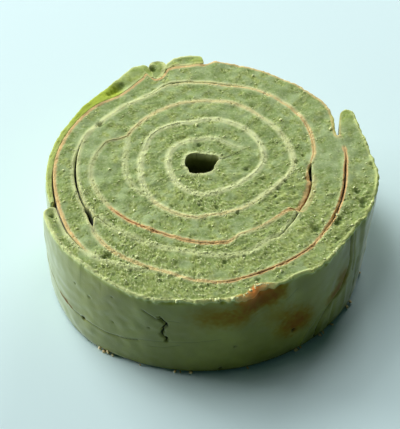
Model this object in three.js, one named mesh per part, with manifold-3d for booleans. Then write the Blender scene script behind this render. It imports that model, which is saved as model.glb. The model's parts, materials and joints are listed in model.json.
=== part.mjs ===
// A slice of rolled baumkuchen. Green cake sheets, baked one at a time in a pan, are wound one
// after another round a rod. The rod is drawn out, which leaves the hole, and the roll is cut
// across, so the spiral shows on both flat faces.
// Lengths are millimetres. Angles are degrees anticlockwise from +X, seen from above, and a
// winding angle goes on past 360 with each turn. Radii are taken from the middle of the hole.
import * as THREE from 'three';
import Module from 'manifold-3d';

// ---------------------------------------------------------------- driving dimensions

const HEIGHT = 27.5;                    // between the two cut faces
const HOLE = { x: -2.21, y: 0.88 };     // middle of the rod hole, off the middle of the slice
const CLEARANCE = 0.3;                  // between sheets that lie on each other
const STEP = 6;                         // winding angle between corners on a smooth stretch
const TEAR_STEP = 4;                    // angle between corners along a tear in the wall
const TEAR_PROUD = 0.2;                 // how far a tear's wedge starts outside the wall
const BULGE = 0.45;                     // how far the outer wall swells between its two rims
const TORN_RIM = 1.5;                   // power of height by which the foot's outline turns
                                        // into the rim's: more keeps the rim's tears near it

// heights of the corners on the outer wall, as shares of HEIGHT, closer at the soft rims
const WALL_ROWS = [0, 0.03, 0.12, 0.5, 0.88, 0.97, 1];

// rim of the rod hole
const HOLE_RIM = [
  [0, 4.0], [25, 4.8], [120, 4.7], [180, 4.3], [208, 3.8], [224, 4.3], [245, 3.5], [285, 3.3],
  [310, 3.7], [340, 3.6], [360, 4.0],
];

// the spiral seam, from its start inside the first lap to the end of the third sheet
const SEAM = [
  [60, 9.4], [85, 8.6], [120, 8.3], [180, 8.8], [215, 9.4], [270, 9.7], [310, 10.8],
  [340, 12.8], [360, 14.9], [398, 16.6], [420, 16.3], [455, 15.0], [500, 16.1], [521, 15.0],
  [540, 15.0], [590, 16.8], [625, 17.6], [636, 16.8], [660, 17.1], [685, 17.8], [703, 19.8],
  [722, 22.2], [767, 22.2], [788, 22.8], [825, 22.0], [850, 21.3], [872, 20.8], [876, 21.8],
  [884, 25.0], [908, 27.0], [937, 25.7], [967, 24.2], [1003, 25.6], [1012, 24.4], [1039, 24.8],
  [1045, 25.5], [1046.5, 27.5], [1065, 27.0], [1076, 26.1], [1090, 27.8], [1120, 29.9],
  [1140, 30.0], [1160, 28.9], [1186, 29.9], [1199, 27.9], [1226, 28.8], [1245, 30.5],
  [1291, 31.0], [1297, 32.0], [1302, 33.4], [1315, 34.5], [1336, 34.8], [1348, 36.3],
  [1358, 37.0], [1374, 36.4], [1394, 36.3], [1400, 35.7], [1436, 34.6], [1452, 36.0],
  [1456.5, 34.9], [1475, 38.0], [1498, 37.4], [1524, 37.7], [1530, 36.4], [1545, 35.5],
  [1549, 33.8], [1551.5, 34.2], [1553.5, 35.8], [1557, 34.5], [1571, 32.4], [1583, 33.9],
  [1611, 35.5], [1640, 36.8], [1660, 38.3], [1667, 38.5], [1680, 36.9], [1690, 35.3],
];

// where the end of the first sheet runs out under the start of the second
const FIRST_SCARF = [[153, 20.6], [160, 19.6], [172, 18.95], [195, 18.5], [219, 16.9]];

// where the end of the second sheet runs out under the start of the third
const SECOND_SCARF = [
  [214.5, 29.8], [225, 29.2], [240, 28.2], [260, 27.9], [290, 29.9], [304, 28.8], [308, 29.1],
  [316, 28.2], [325.5, 27.5],
];

// rim of the outer sheet on the upper face, from its lip at the left round to its free flap
const OUTLINE = [
  [202, 40.2], [206, 40.9], [220, 41.7], [232, 41.9], [245, 43.0], [254, 43.5], [262, 42.9],
  [279, 42.3], [283, 42.7], [290, 40.9], [297, 41.5], [301, 40.9], [310, 42.0], [325, 41.2],
  [333, 41.2], [335.5, 42.0], [354, 42.6], [368, 41.3], [379, 41.3], [386, 42.2],
];

// foot of the outer sheet on the lower face, over the same stretch
const FOOT = [
  [202, 40.3], [214, 41.4], [226, 42.5], [233, 42.8], [245, 42.4], [262, 42.1], [300, 41.9],
  [327, 41.8], [344, 41.0], [356, 40.9], [368, 41.0], [379, 41.3], [386, 42.2],
];

// the free flap at the end of the outer sheet: its tip, then its inner side down to the notch
const FLAP_TIP = [[387.8, 41.8], [388.4, 40.8], [387.7, 39.3]];
const FLAP_INSIDE = [[385, 37.8], [380.5, 36.3]];

// outside of the thin skin that is left of the next sheet, at the back left
const SKIN_OUTSIDE = [
  [113, 39.5], [116, 39.7], [125, 37.8], [134, 36.6], [150, 36.25], [180, 37.5], [200.5, 38.1],
];

// the skin's torn end, curled back on itself beside the scrap
const SKIN_CURL = [
  [111.8, 39.0], [111.9, 37.2], [110.9, 35.6], [109.2, 35.0], [107.9, 35.9], [107.4, 37.2],
  [106.3, 37.3],
];

// the scrap of skin that clings to the back
const SCRAP_OUTSIDE = [[89.5, 38.9], [90.6, 40.5], [96, 40.8], [101.5, 40.4], [105.2, 38.7]];

// where the seam gapes: winding angle at the middle, half its length in degrees, extra width
const GAPES = [
  [1272, 26, 0.2], [1293, 5, 0.5], [1062, 20, 0.3], [1075, 7, 0.5], [1422, 26, 0.2],
];

// tears in the outer wall: points as angle and height, width at the surface and depth
const TEARS = [
  { path: [[253, 22.2], [257.6, 20.8], [259.3, 18.6], [258.2, 15.8], [259.2, 12.6]],
    width: 0.7, depth: 1.2 },
  { path: [[328, 24.5], [329, 17], [325, 15], [317, 13], [312.6, 9.8], [313.5, 4.5]],
    width: 0.9, depth: 1.3 },
];

// ---------------------------------------------------------------- curves

// A smooth curve through [angle, value] knots that doesn't overshoot them: cubic pieces whose
// slope at a knot is the harmonic mean of its neighbours' slopes, or zero at a turning point.
function curveThrough(knots) {
  const chords = knots.slice(1).map(([a, v], i) => (v - knots[i][1]) / (a - knots[i][0]));
  const slopes = knots.map((_, i) => {
    const before = chords[Math.max(i - 1, 0)];
    const after = chords[Math.min(i, chords.length - 1)];
    return before * after > 0 ? (2 * before * after) / (before + after) : 0;
  });
  const at = (angle) => {
    let i = knots.findIndex(([a]) => a > angle) - 1;
    if (i === -2) i = knots.length - 2;
    i = Math.max(i, 0);
    const [a0, v0] = knots[i];
    const [a1, v1] = knots[i + 1];
    const span = a1 - a0;
    const t = THREE.MathUtils.clamp((angle - a0) / span, 0, 1);
    return (1 + 2 * t) * (1 - t) ** 2 * v0 + t * t * (3 - 2 * t) * v1
      + span * (t * (1 - t) ** 2 * slopes[i] - t * t * (1 - t) * slopes[i + 1]);
  };
  // angles from start to end, with every knot between them and no step longer than STEP
  const anglesBetween = (start, end) => {
    const stops = knots.map(([a]) => a).filter((a) => a > start + 0.5 && a < end - 0.5);
    return [start, ...stops, end].flatMap((from, i, all) => {
      if (i === all.length - 1) return [from];
      const count = Math.ceil((all[i + 1] - from) / STEP);
      return Array.from({ length: count }, (_, k) => from + ((all[i + 1] - from) * k) / count);
    });
  };
  return { at, anglesBetween };
}

const holeRim = curveThrough(HOLE_RIM);
const seam = curveThrough(SEAM);
const firstScarf = curveThrough(FIRST_SCARF);
const secondScarf = curveThrough(SECOND_SCARF);
const outline = curveThrough(OUTLINE);
const skinOutside = curveThrough(SKIN_OUTSIDE);
const foot = curveThrough(FOOT);

// A point of the plan, from its angle and radius. Wall marks a point on the open outer wall,
// and footRadius is the point's radius on the lower face where that differs.
const polar = (angle, radius, wall = false, footRadius = radius) => {
  const radians = THREE.MathUtils.degToRad(angle);
  return { x: radius * Math.cos(radians), y: radius * Math.sin(radians), wall, footRadius };
};

// Points along a curve between two angles, moved sideways by offset(angle): outwards if it is
// positive. Sideways is square to the line between a point's two neighbours.
function along(curve, start, end, offset, wall = false) {
  const angles = curve.anglesBetween(start, end);
  const points = angles.map((a) => polar(a, curve.at(a), wall));
  return points.map((p, i) => {
    const before = points[Math.max(i - 1, 0)];
    const after = points[Math.min(i + 1, points.length - 1)];
    const run = Math.hypot(after.x - before.x, after.y - before.y);
    const side = offset(angles[i]);
    const x = p.x + (side * (after.y - before.y)) / run;
    const y = p.y - (side * (after.x - before.x)) / run;
    return { x, y, wall, footRadius: Math.hypot(x, y) };
  });
}

// points of the outer sheet's rim, with the foot under them
const rimPoints = (start, end) => outline.anglesBetween(start, end)
  .map((a) => polar(a, outline.at(a), true, foot.at(a)));

// width of the clearance along the seam, wider where the seam gapes
function seamWidth(angle) {
  return GAPES.reduce((width, [middle, half, extra]) => {
    const t = Math.abs(angle - middle) / half;
    return t < 1 ? width + extra * (1 - t * t) ** 2 : width;
  }, CLEARANCE);
}

const outsideOfSeam = (a) => seamWidth(a) / 2;
const insideOfSeam = (a) => -seamWidth(a) / 2;
const outwards = () => CLEARANCE / 2;
const inwards = () => -CLEARANCE / 2;
const none = () => 0;
const polarList = (pairs, wall) => pairs.map(([a, r]) => polar(a, r, wall));

// ---------------------------------------------------------------- solids

// The corner of a plan point at a share of the height: its radius goes from the foot's to the
// rim's, and on the wall it swells between them. Inward moves the corner towards the hole.
function cornerAt(point, share, inward = 0) {
  const radius = Math.hypot(point.x, point.y);
  const swell = point.wall ? BULGE * (1 - (2 * share - 1) ** 4) : 0;
  const wanted = THREE.MathUtils.lerp(point.footRadius, radius, share ** TORN_RIM) + swell;
  const scale = (wanted - inward) / radius;
  return new THREE.Vector3(HOLE.x + point.x * scale, HOLE.y + point.y * scale, share * HEIGHT);
}

// A closed slab between the two cut faces: each plan point is a column of corners, with every
// row on the outer wall and only its two ends elsewhere. Rings turn anticlockwise round
// material: the outer ring anticlockwise, a hole's ring clockwise.
function slab(outerRing, holeRings = []) {
  const rings = [outerRing, ...holeRings];
  const corners = [];
  const columns = rings.map((ring) => ring.map((point) => {
    const rows = point.wall ? WALL_ROWS : [0, 1];
    return rows.map((share) => {
      corners.push(...cornerAt(point, share).toArray());
      return { index: corners.length / 3 - 1, share };
    });
  }));
  const faces = [];
  for (const ring of columns) {
    ring.forEach((left, i) => {
      const right = ring[(i + 1) % ring.length];
      let l = 0;
      let r = 0;
      while (l < left.length - 1 || r < right.length - 1) {
        const climbLeft = r === right.length - 1
          || (l < left.length - 1 && left[l + 1].share <= right[r + 1].share);
        const tip = climbLeft ? left[l + 1].index : right[r + 1].index;
        faces.push(left[l].index, right[r].index, tip);
        if (climbLeft) l += 1;
        else r += 1;
      }
    });
  }
  const toVectors = (ring) => ring.map((p) => new THREE.Vector2(p.x, p.y));
  const flat = columns.flat();
  const caps = THREE.ShapeUtils.triangulateShape(toVectors(outerRing), holeRings.map(toVectors));
  for (const [a, b, c] of caps) {
    faces.push(flat[a].at(-1).index, flat[b].at(-1).index, flat[c].at(-1).index);
    faces.push(flat[a][0].index, flat[c][0].index, flat[b][0].index);
  }
  const geometry = new THREE.BufferGeometry();
  geometry.setAttribute('position', new THREE.Float32BufferAttribute(corners, 3));
  geometry.setIndex(faces);
  return geometry;
}

// A wedge that follows a path of [angle, height] pairs on the outer wall, in steps short enough
// to follow its curve: at each step a diamond of one corner outside the wall, one at full depth
// and one at either side. Each end runs out to a point just outside the wall.
function tearWedge({ path: turns, width, depth }) {
  const path = turns.slice(1).flatMap(([angle, height], i) => {
    const [angle0, height0] = turns[i];
    const count = Math.ceil(Math.abs(angle - angle0) / TEAR_STEP) || 1;
    return Array.from({ length: count }, (_, k) => [
      angle0 + ((angle - angle0) * k) / count, height0 + ((height - height0) * k) / count]);
  });
  path.push(turns.at(-1));
  const surface = (angle, height, inward) => (
    cornerAt(polar(angle, outline.at(angle), true, foot.at(angle)), height / HEIGHT, inward));
  const middles = path.map(([angle, height]) => surface(angle, height, -TEAR_PROUD));
  const corners = [];
  path.forEach(([angle, height], i) => {
    if (i === 0 || i === path.length - 1) {
      corners.push(...middles[i].toArray());
      return;
    }
    const out = surface(angle, height, -depth).sub(middles[i]);
    const ahead = middles[i + 1].clone().sub(middles[i - 1]);
    const side = ahead.cross(out).normalize().multiplyScalar(width / 2);
    corners.push(...surface(angle, height, -depth).toArray());
    corners.push(...middles[i].clone().add(side).toArray());
    corners.push(...surface(angle, height, depth).toArray());
    corners.push(...middles[i].clone().sub(side).toArray());
  });
  const faces = [];
  const last = path.length - 1;
  const corner = (ring, k) => (ring === 0 ? 0 : 1 + 4 * (ring - 1) + (k % 4));
  const end = corner(last, 0);
  for (let k = 0; k < 4; k += 1) {
    faces.push(0, corner(1, k + 1), corner(1, k));
    faces.push(end, corner(last - 1, k), corner(last - 1, k + 1));
    for (let ring = 1; ring < last - 1; ring += 1) {
      faces.push(corner(ring, k), corner(ring + 1, k + 1), corner(ring + 1, k));
      faces.push(corner(ring, k), corner(ring, k + 1), corner(ring + 1, k + 1));
    }
  }
  const geometry = new THREE.BufferGeometry();
  geometry.setAttribute('position', new THREE.Float32BufferAttribute(corners, 3));
  geometry.setIndex(faces);
  return geometry;
}

const wasm = await Module();
wasm.setup();

function toSolid(geometry) {
  return new wasm.Manifold(new wasm.Mesh({
    numProp: 3,
    vertProperties: Float32Array.from(geometry.attributes.position.array),
    triVerts: Uint32Array.from(geometry.index.array),
  }));
}

function toGeometry(solid) {
  const mesh = solid.getMesh();
  const geometry = new THREE.BufferGeometry();
  geometry.setAttribute('position', new THREE.BufferAttribute(mesh.vertProperties, 3));
  geometry.setIndex(new THREE.BufferAttribute(mesh.triVerts, 1));
  return geometry;
}

// ---------------------------------------------------------------- the pieces

// The first sheet goes about twice round the hole and runs out as a thin edge.
function firstSheet() {
  const ring = [
    polar(57, 9.4),
    ...along(seam, 61, 872, insideOfSeam),
    ...along(firstScarf, 154, 219, inwards),
    ...along(seam, 61, 580, outsideOfSeam).reverse(),
  ];
  const rim = holeRim.anglesBetween(0, 360).slice(0, -1).map((a) => polar(a, holeRim.at(a)));
  return slab(ring, [rim.reverse()]);
}

// The second sheet starts over the end of the first and ends bluntly, a turn and a half on.
function secondSheet() {
  return slab([
    polar(155, 21.0),
    ...along(seam, 876.5, 1293.5, insideOfSeam),
    ...along(secondScarf, 215, 324.4, inwards),
    polar(325.2, 26.6),
    ...along(seam, 586, 1044, outsideOfSeam).reverse(),
    ...along(firstScarf, 156, 217, outwards).reverse(),
  ]);
}

// The third sheet starts with a round nose over the end of the second and runs out under the
// outer sheet. Its outside is the open wall at the back right.
function thirdSheet() {
  return slab([
    polar(214.9, 30.7),
    ...along(seam, 1297, 1455, insideOfSeam),
    ...along(seam, 1457, 1461, none),
    ...along(seam, 1464, 1528, none, true),
    ...along(seam, 1530.5, 1688, insideOfSeam),
    ...along(seam, 1048, 1333, outsideOfSeam).reverse(),
    ...along(secondScarf, 216, 324.5, outwards).reverse(),
  ]);
}

// The outer sheet, from its lip to the free flap, with the tears of its wall cut in.
function outerSheet() {
  const wall = slab([
    ...rimPoints(202, 386),
    ...polarList(FLAP_TIP, true),
    ...polarList(FLAP_INSIDE),
    ...along(seam, 1336, 1456, outsideOfSeam).reverse(),
    ...along(seam, 1643, 1687, outsideOfSeam).reverse(),
    polar(202.1, 38.3, true),
  ]);
  return toGeometry(TEARS.reduce((solid, tear) => solid.subtract(toSolid(tearWedge(tear))),
    toSolid(wall)));
}

// The thin skin at the back left, curled at its torn end.
function thinSkin() {
  return slab([
    ...along(seam, 1546.5, 1640.5, outwards),
    ...along(skinOutside, 113, 200.5, none, true).reverse(),
    ...polarList(SKIN_CURL, true),
  ].reverse());
}

// The scrap that clings to the back between the open wall and the curl.
function backScrap() {
  return slab([
    ...polarList(SCRAP_OUTSIDE, true),
    ...along(seam, 1531, 1544.5, outwards).reverse(),
  ]);
}

const slice = new THREE.Group();
const PIECES = [
  ['first_sheet', firstSheet, 0x94a968],
  ['second_sheet', secondSheet, 0x96ac6c],
  ['third_sheet', thirdSheet, 0x96ac6c],
  ['outer_sheet', outerSheet, 0x8ca06a],
  ['thin_skin', thinSkin, 0x9ab03c],
  ['back_scrap', backScrap, 0xa6bf4c],
];
for (const [name, shape, color] of PIECES) {
  const material = new THREE.MeshStandardMaterial({ color, roughness: 0.9, metalness: 0 });
  const mesh = new THREE.Mesh(shape(), material);
  mesh.name = name;
  slice.add(mesh);
}

export default slice;
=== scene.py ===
"""Slice of rolled green baumkuchen: cake sheets wound one after another round a rod hole.

Sizes are millimetres and angles are degrees anticlockwise from +X, seen from above; a winding
angle goes on past 360 with each turn. Radii are taken from the middle of the hole.
"""

import json
import math
from collections import namedtuple

import bpy
import numpy as np
from mathutils import Vector
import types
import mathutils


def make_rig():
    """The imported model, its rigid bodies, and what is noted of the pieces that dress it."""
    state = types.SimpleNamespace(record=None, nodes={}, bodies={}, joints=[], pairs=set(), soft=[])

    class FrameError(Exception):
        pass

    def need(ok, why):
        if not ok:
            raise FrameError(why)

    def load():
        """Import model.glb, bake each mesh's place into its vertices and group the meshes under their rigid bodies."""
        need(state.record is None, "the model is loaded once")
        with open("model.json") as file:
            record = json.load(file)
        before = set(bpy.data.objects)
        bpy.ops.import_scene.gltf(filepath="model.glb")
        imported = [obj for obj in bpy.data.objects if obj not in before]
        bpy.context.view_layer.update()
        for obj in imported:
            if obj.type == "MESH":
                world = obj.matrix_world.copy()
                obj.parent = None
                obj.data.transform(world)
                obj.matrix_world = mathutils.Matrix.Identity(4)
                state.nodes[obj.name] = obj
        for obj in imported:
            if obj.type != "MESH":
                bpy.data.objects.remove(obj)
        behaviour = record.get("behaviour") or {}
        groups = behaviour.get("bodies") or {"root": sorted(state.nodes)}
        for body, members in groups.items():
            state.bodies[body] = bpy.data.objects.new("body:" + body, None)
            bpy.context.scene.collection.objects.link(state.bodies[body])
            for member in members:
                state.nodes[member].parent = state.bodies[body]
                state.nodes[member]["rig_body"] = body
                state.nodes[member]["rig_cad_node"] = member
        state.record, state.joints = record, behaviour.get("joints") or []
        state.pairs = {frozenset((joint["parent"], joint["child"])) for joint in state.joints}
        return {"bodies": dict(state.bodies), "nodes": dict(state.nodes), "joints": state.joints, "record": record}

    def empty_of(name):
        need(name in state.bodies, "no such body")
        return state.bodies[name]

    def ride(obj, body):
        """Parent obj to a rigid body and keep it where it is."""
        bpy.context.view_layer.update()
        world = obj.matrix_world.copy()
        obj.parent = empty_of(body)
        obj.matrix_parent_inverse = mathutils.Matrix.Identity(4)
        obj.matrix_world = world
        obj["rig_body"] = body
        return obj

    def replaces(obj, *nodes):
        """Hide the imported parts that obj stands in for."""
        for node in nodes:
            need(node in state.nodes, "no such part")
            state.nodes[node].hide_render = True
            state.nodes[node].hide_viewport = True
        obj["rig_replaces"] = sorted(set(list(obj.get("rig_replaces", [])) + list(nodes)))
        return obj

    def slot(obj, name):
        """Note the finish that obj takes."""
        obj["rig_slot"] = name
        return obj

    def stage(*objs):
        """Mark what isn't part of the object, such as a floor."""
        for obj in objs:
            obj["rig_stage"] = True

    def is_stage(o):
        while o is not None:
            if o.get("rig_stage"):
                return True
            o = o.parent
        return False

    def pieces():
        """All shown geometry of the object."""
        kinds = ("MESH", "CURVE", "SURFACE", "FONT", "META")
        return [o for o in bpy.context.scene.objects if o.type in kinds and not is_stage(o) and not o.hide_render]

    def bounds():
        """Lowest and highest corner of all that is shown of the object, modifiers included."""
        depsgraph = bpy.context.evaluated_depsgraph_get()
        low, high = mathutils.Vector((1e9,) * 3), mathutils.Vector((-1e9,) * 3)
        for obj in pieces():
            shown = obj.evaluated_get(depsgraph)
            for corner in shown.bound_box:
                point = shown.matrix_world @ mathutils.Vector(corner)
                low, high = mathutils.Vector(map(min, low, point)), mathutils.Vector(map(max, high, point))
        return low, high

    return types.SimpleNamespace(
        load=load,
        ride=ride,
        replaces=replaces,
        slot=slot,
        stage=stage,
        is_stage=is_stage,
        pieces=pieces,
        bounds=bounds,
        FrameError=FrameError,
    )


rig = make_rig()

bl_info = {
    "name": "Rolled baumkuchen slice",
    "version": (1, 0, 0),
    "blender": (4, 5, 0),
    "location": "3D View > Sidebar > Baumkuchen",
    "description": "Makes a slice of rolled green baumkuchen on a pale floor",
    "category": "Add Mesh",
}

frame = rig.load()
CAD_BOX = [list(corner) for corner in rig.bounds()]

MM = 0.001
HEIGHT = 27.5
HOLE = np.array([-2.21, 0.88])
# how far the wall swells between its rims, and the power of height by which the foot's outline
# turns into the rim's
BULGE = 0.45
TORN_RIM = 1.5
SEED = 20
# winding angle from which the tables of the last turn count
LAST_TURN = 1440

# ------------------------------------------------------------------ lines of the winding

HOLE_RIM = [
    (0, 3.35), (10, 3.7), (30, 4.75), (54, 3.8), (80, 3.5), (109, 3.8), (128, 4.3), (143, 4.5),
    (162, 4.35), (185, 4.15), (207, 3.8), (225, 4.2), (245, 3.75), (261, 3.15), (288, 3.2),
    (320, 3.2), (347, 3.05), (360, 3.35),
]
SHEET_START = [(22, 4.4), (27, 11.9)]
SEAM = [
    (27, 11.9), (37, 10.2), (50, 9.5), (70, 9.15), (102, 8.45), (127, 9.0), (148, 8.95),
    (171, 8.4), (199, 8.2), (229, 8.85), (253, 9.7), (274, 10.0), (290, 9.95), (326, 10.95),
    (348, 13.05), (365, 14.9), (380, 15.7), (402, 16.15), (420, 16.2), (438, 16.0),
    (460, 15.0), (500, 16.1), (521, 15.0),
    (540, 15.0), (590, 16.8), (625, 17.6), (636, 16.8), (660, 17.1), (685, 17.8), (703, 19.8),
    (722, 22.2), (767, 22.2), (788, 22.8), (825, 22.0), (850, 21.3), (872, 20.8), (876, 21.8),
    (884, 25.0), (908, 27.0), (937, 25.7), (967, 24.2), (1003, 25.6), (1012, 24.4),
    (1039, 24.8), (1045, 25.5), (1046.5, 27.5), (1065, 27.0), (1076, 26.1), (1090, 27.8),
    (1120, 29.9), (1140, 30.0), (1160, 28.9), (1186, 29.9), (1199, 27.9), (1226, 28.8),
    (1245, 30.5), (1291, 31.0), (1297, 32.0), (1302, 33.4), (1315, 34.5), (1336, 34.8),
    (1348, 36.3), (1358, 37.0), (1374, 36.4), (1394, 36.3), (1400, 35.7), (1436, 34.6),
    (1447, 35.2), (1452, 35.2), (1456.5, 34.9), (1475, 38.0), (1498, 37.4), (1524, 37.7),
    (1530, 36.4), (1544, 35.9), (1546.5, 34.5), (1549, 33.1), (1551.6, 32.8), (1553, 33.5),
    (1554, 35.8), (1557, 34.5),
    (1571, 32.4), (1583, 33.9), (1611, 35.5), (1640, 36.8), (1660, 38.3), (1667, 38.5),
    (1680, 36.9), (1690, 35.3),
]
FIRST_SCARF = [(153, 20.7), (160, 19.6), (172, 18.95), (195, 18.5), (219, 16.9)]
SECOND_SCARF = [
    (214.5, 29.8), (225, 29.2), (240, 28.2), (260, 27.9), (290, 29.9), (304, 28.8),
    (308, 29.1), (316, 28.2), (325.5, 27.5),
]
OUTLINE = [
    (202, 40.2), (206, 40.9), (220, 41.7), (232, 41.9), (245, 43.0), (254, 43.5), (262, 42.9),
    (279, 42.3), (283, 42.7), (290, 40.9), (297, 41.5), (301, 40.9), (310, 42.0), (325, 41.2),
    (333, 41.2), (335.5, 42.0), (354, 42.6), (368, 41.3), (379, 41.3), (386, 42.2),
    (388.4, 41.0),
]
FOOT = [
    (202, 40.3), (214, 41.4), (226, 42.5), (233, 42.8), (245, 42.4), (262, 42.1), (300, 41.9),
    (327, 41.8), (344, 41.0), (356, 40.9), (368, 41.0), (379, 41.3), (386, 42.2), (388.4, 41.0),
]
FLAP_INSIDE = [(376.5, 35.2), (380.5, 36.3), (385, 37.8), (387.7, 39.3), (388.4, 40.6)]
SKIN_OUTSIDE = [
    (111.0, 38.0), (112, 39.2), (116, 39.7), (125, 37.8), (134, 36.6), (150, 36.25),
    (180, 37.5), (200.5, 38.1),
]
SCRAP_OUTSIDE = [
    (89.5, 37.9), (90.4, 39.6), (92, 40.0), (97, 40.1), (101, 39.5), (103, 38.6), (105.4, 37.4),
]
# the skin's end, rolled over in the notch at the back: its middle line from the box's centre and
# its half width, in mm
CURL = [
    (-14.2, 31.75, 0.3), (-14.2, 32.2, 1.0), (-14.2, 33.2, 1.7), (-14.1, 34.6, 2.1),
    (-14.0, 36.0, 2.25), (-13.9, 37.2, 2.1), (-13.9, 38.2, 1.4), (-13.9, 38.6, 0.3),
]

CURL_STEPS = 60
CURL_DROP = 0.35
CURL_GLOW = 0.2

# how brown the seam is along its length, 0 for green and 1 for the darkest red brown
SEAM_TOAST = [
    (27, 0), (575, 0), (590, 0.2), (650, 0.22), (690, 0.1), (760, 0.1), (772, 0.2),
    (845, 0.22), (874, 0.2), (892, 0.1), (930, 0.14), (940, 0.85), (960, 0.85), (975, 0.65),
    (1000, 0.65), (1008, 0.25), (1030, 0.28), (1040, 0.5), (1047, 0.9), (1070, 0.8),
    (1076, 0.3), (1084, 0.55), (1100, 0.55), (1115, 0.4), (1130, 0.32), (1158, 0.32),
    (1180, 0.2), (1200, 0.08), (1226, 0.1), (1300, 0.15), (1310, 0.28), (1340, 0.28), (1352, 0.35),
    (1360, 0.65), (1375, 0.85), (1390, 0.85), (1400, 0.6), (1412, 0.8), (1440, 0.8),
    (1448, 0.5), (1452, 0.0), (1458, 0.3), (1500, 0.28), (1529, 0.35), (1544, 0.45),
    (1553, 0.48), (1600, 0.45), (1650, 0.48), (1661, 0.42), (1668, 0.1), (1672, 0.0),
]
# share of that brown on the sheet that lies outside the seam
BROWN_BEYOND = [
    (27, 1), (1005, 1), (1012, 0.6), (1044, 0.6), (1048, 0.2), (1080, 0.2), (1088, 0.6),
    (1145, 0.6), (1340, 1), (1450, 1), (1540, 0.4), (1553, 0.0), (1690, 0.0),
]
# how pale the crumb is beside the seam
SEAM_HALO = [
    (27, 0.4), (80, 0.7), (200, 0.95), (420, 0.95), (590, 0.85), (640, 0.8), (722, 0.85),
    (850, 0.6), (880, 0.45), (930, 0.6), (1010, 0.5), (1046, 0.35), (1090, 0.5), (1150, 0.7),
    (1210, 0.85), (1250, 0.75), (1300, 0.7), (1340, 0.7), (1350, 0.5), (1440, 0.4),
    (1452, 0.0), (1460, 0.4), (1553, 0.5), (1640, 0.6), (1643, 1.0), (1656, 0.9), (1690, 0.6),
]
# how many times wider than usual the seam's brown is
SEAM_BAND = [
    (27, 1), (765, 1), (775, 1.2), (850, 1.2), (870, 1.1), (1005, 1.1), (1012, 1.0),
    (1043, 1.2), (1048, 2.6), (1068, 2.5), (1076, 1.1), (1086, 1.1), (1138, 1.2), (1150, 1),
    (1340, 1), (1346, 0.9), (1445, 0.9), (1457, 1.9), (1545, 1.8), (1553, 1.7), (1650, 1.7),
    (1664, 1),
]
# width in mm of a seam without a slit: below zero, because the two sheets have baked together
FUSED = -0.02
# slits along the seam: winding angle of the middle, half length in degrees, width in mm
SLITS = [
    (1176, 34, 0.2), (972, 36, 0.04), (1272, 28, 0.5), (1293, 6.5, 1.25), (1062, 20, 0.16),
    (1074, 7.5, 0.75), (1424, 26, 0.4), (1376, 30, 0.05), (1644, 27, 0.38), (1612, 26, 0.08),
    (1318, 24, 0.12),
]
# width of the slit along the second scarf
SCARF_SLIT = [
    (214.5, 0.5), (217, 0.3), (222, 0.2), (240, 0.1), (255, 0.02), (300, 0.02), (308, 0.16),
    (325.5, 0.4),
]
# waves that set the turns a little above or below their neighbours: height in mm, radians of the
# wave a degree, and start
TURN_STEPS = [(0.06, 0.031, 1.3), (0.04, 0.083, 0.5), (0.03, 0.21, 2.0)]
STEPS_BEGIN = (390, 520)
# where light comes through thin skin, by angle
THIN_GLOW = {
    "back_scrap": [(89.5, 0.5), (93, 0.3), (97, 0.1), (105.4, 0.2)],
    "thin_skin": [
        (106, 0.5), (112, 0.25), (126, 0.2), (131, 0.85), (148, 0.85), (165, 0.6), (201, 0.3),
    ],
    "outer_sheet": [(202, 0.1), (216, 0.0), (376, 0.0), (384, 0.25), (388.4, 0.4)],
}
# and through the free rim
RIM_GLOW = [
    (0, 0.6), (28.4, 0.6), (31, 0.0), (200, 0.0), (205, 0.15), (250, 0.2), (300, 0.4), (360, 0.6),
]

# the finish and radius along a line: how brown it is, the share of that on the sheet outside it,
# how pale the crumb beside it is, its slit's width, and how much wider its brown is
Line = namedtuple("Line", "radius toast beyond halo slit band")


def smooth_curve(knots):
    """A function through (angle, value) knots: cubic pieces whose slope at a knot is the
    harmonic mean of the slopes beside it, or zero at a turning point."""
    angle, value = np.array(knots, float).T
    chord = np.diff(value) / np.diff(angle)
    before = np.r_[chord[0], chord]
    after = np.r_[chord, chord[-1]]
    rising = before * after > 0
    slope = np.where(rising, 2 * before * after / np.where(rising, before + after, 1), 0)

    def at(x):
        x = np.clip(x, angle[0], angle[-1])
        i = np.clip(np.searchsorted(angle, x, side="right") - 1, 0, len(angle) - 2)
        span = angle[i + 1] - angle[i]
        t = (x - angle[i]) / span
        return (
            (1 + 2 * t) * (1 - t) ** 2 * value[i]
            + t * t * (3 - 2 * t) * value[i + 1]
            + span * (t * (1 - t) ** 2 * slope[i] - t * t * (1 - t) * slope[i + 1])
        )

    return at


def level(value):
    """A function that has the same value at every angle."""
    return lambda x: np.full_like(x, value)


def slit_width(x):
    """Width of the seam's slit: each slit is a bump (1 - t^4)^2 over its half length."""
    width = np.full_like(x, FUSED)
    for middle, half, gape in SLITS:
        t = np.clip(np.abs(x - middle) / half, 0, 1)
        width = np.maximum(width, FUSED + (gape - FUSED) * (1 - t**4) ** 2)
    return width


def plain_line(knots, toast, halo, slit=None):
    """A line whose finish is the same along its length."""
    slit = slit or level(0.0)
    return Line(smooth_curve(knots), level(toast), level(1.0), level(halo), slit, level(1.0))


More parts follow.
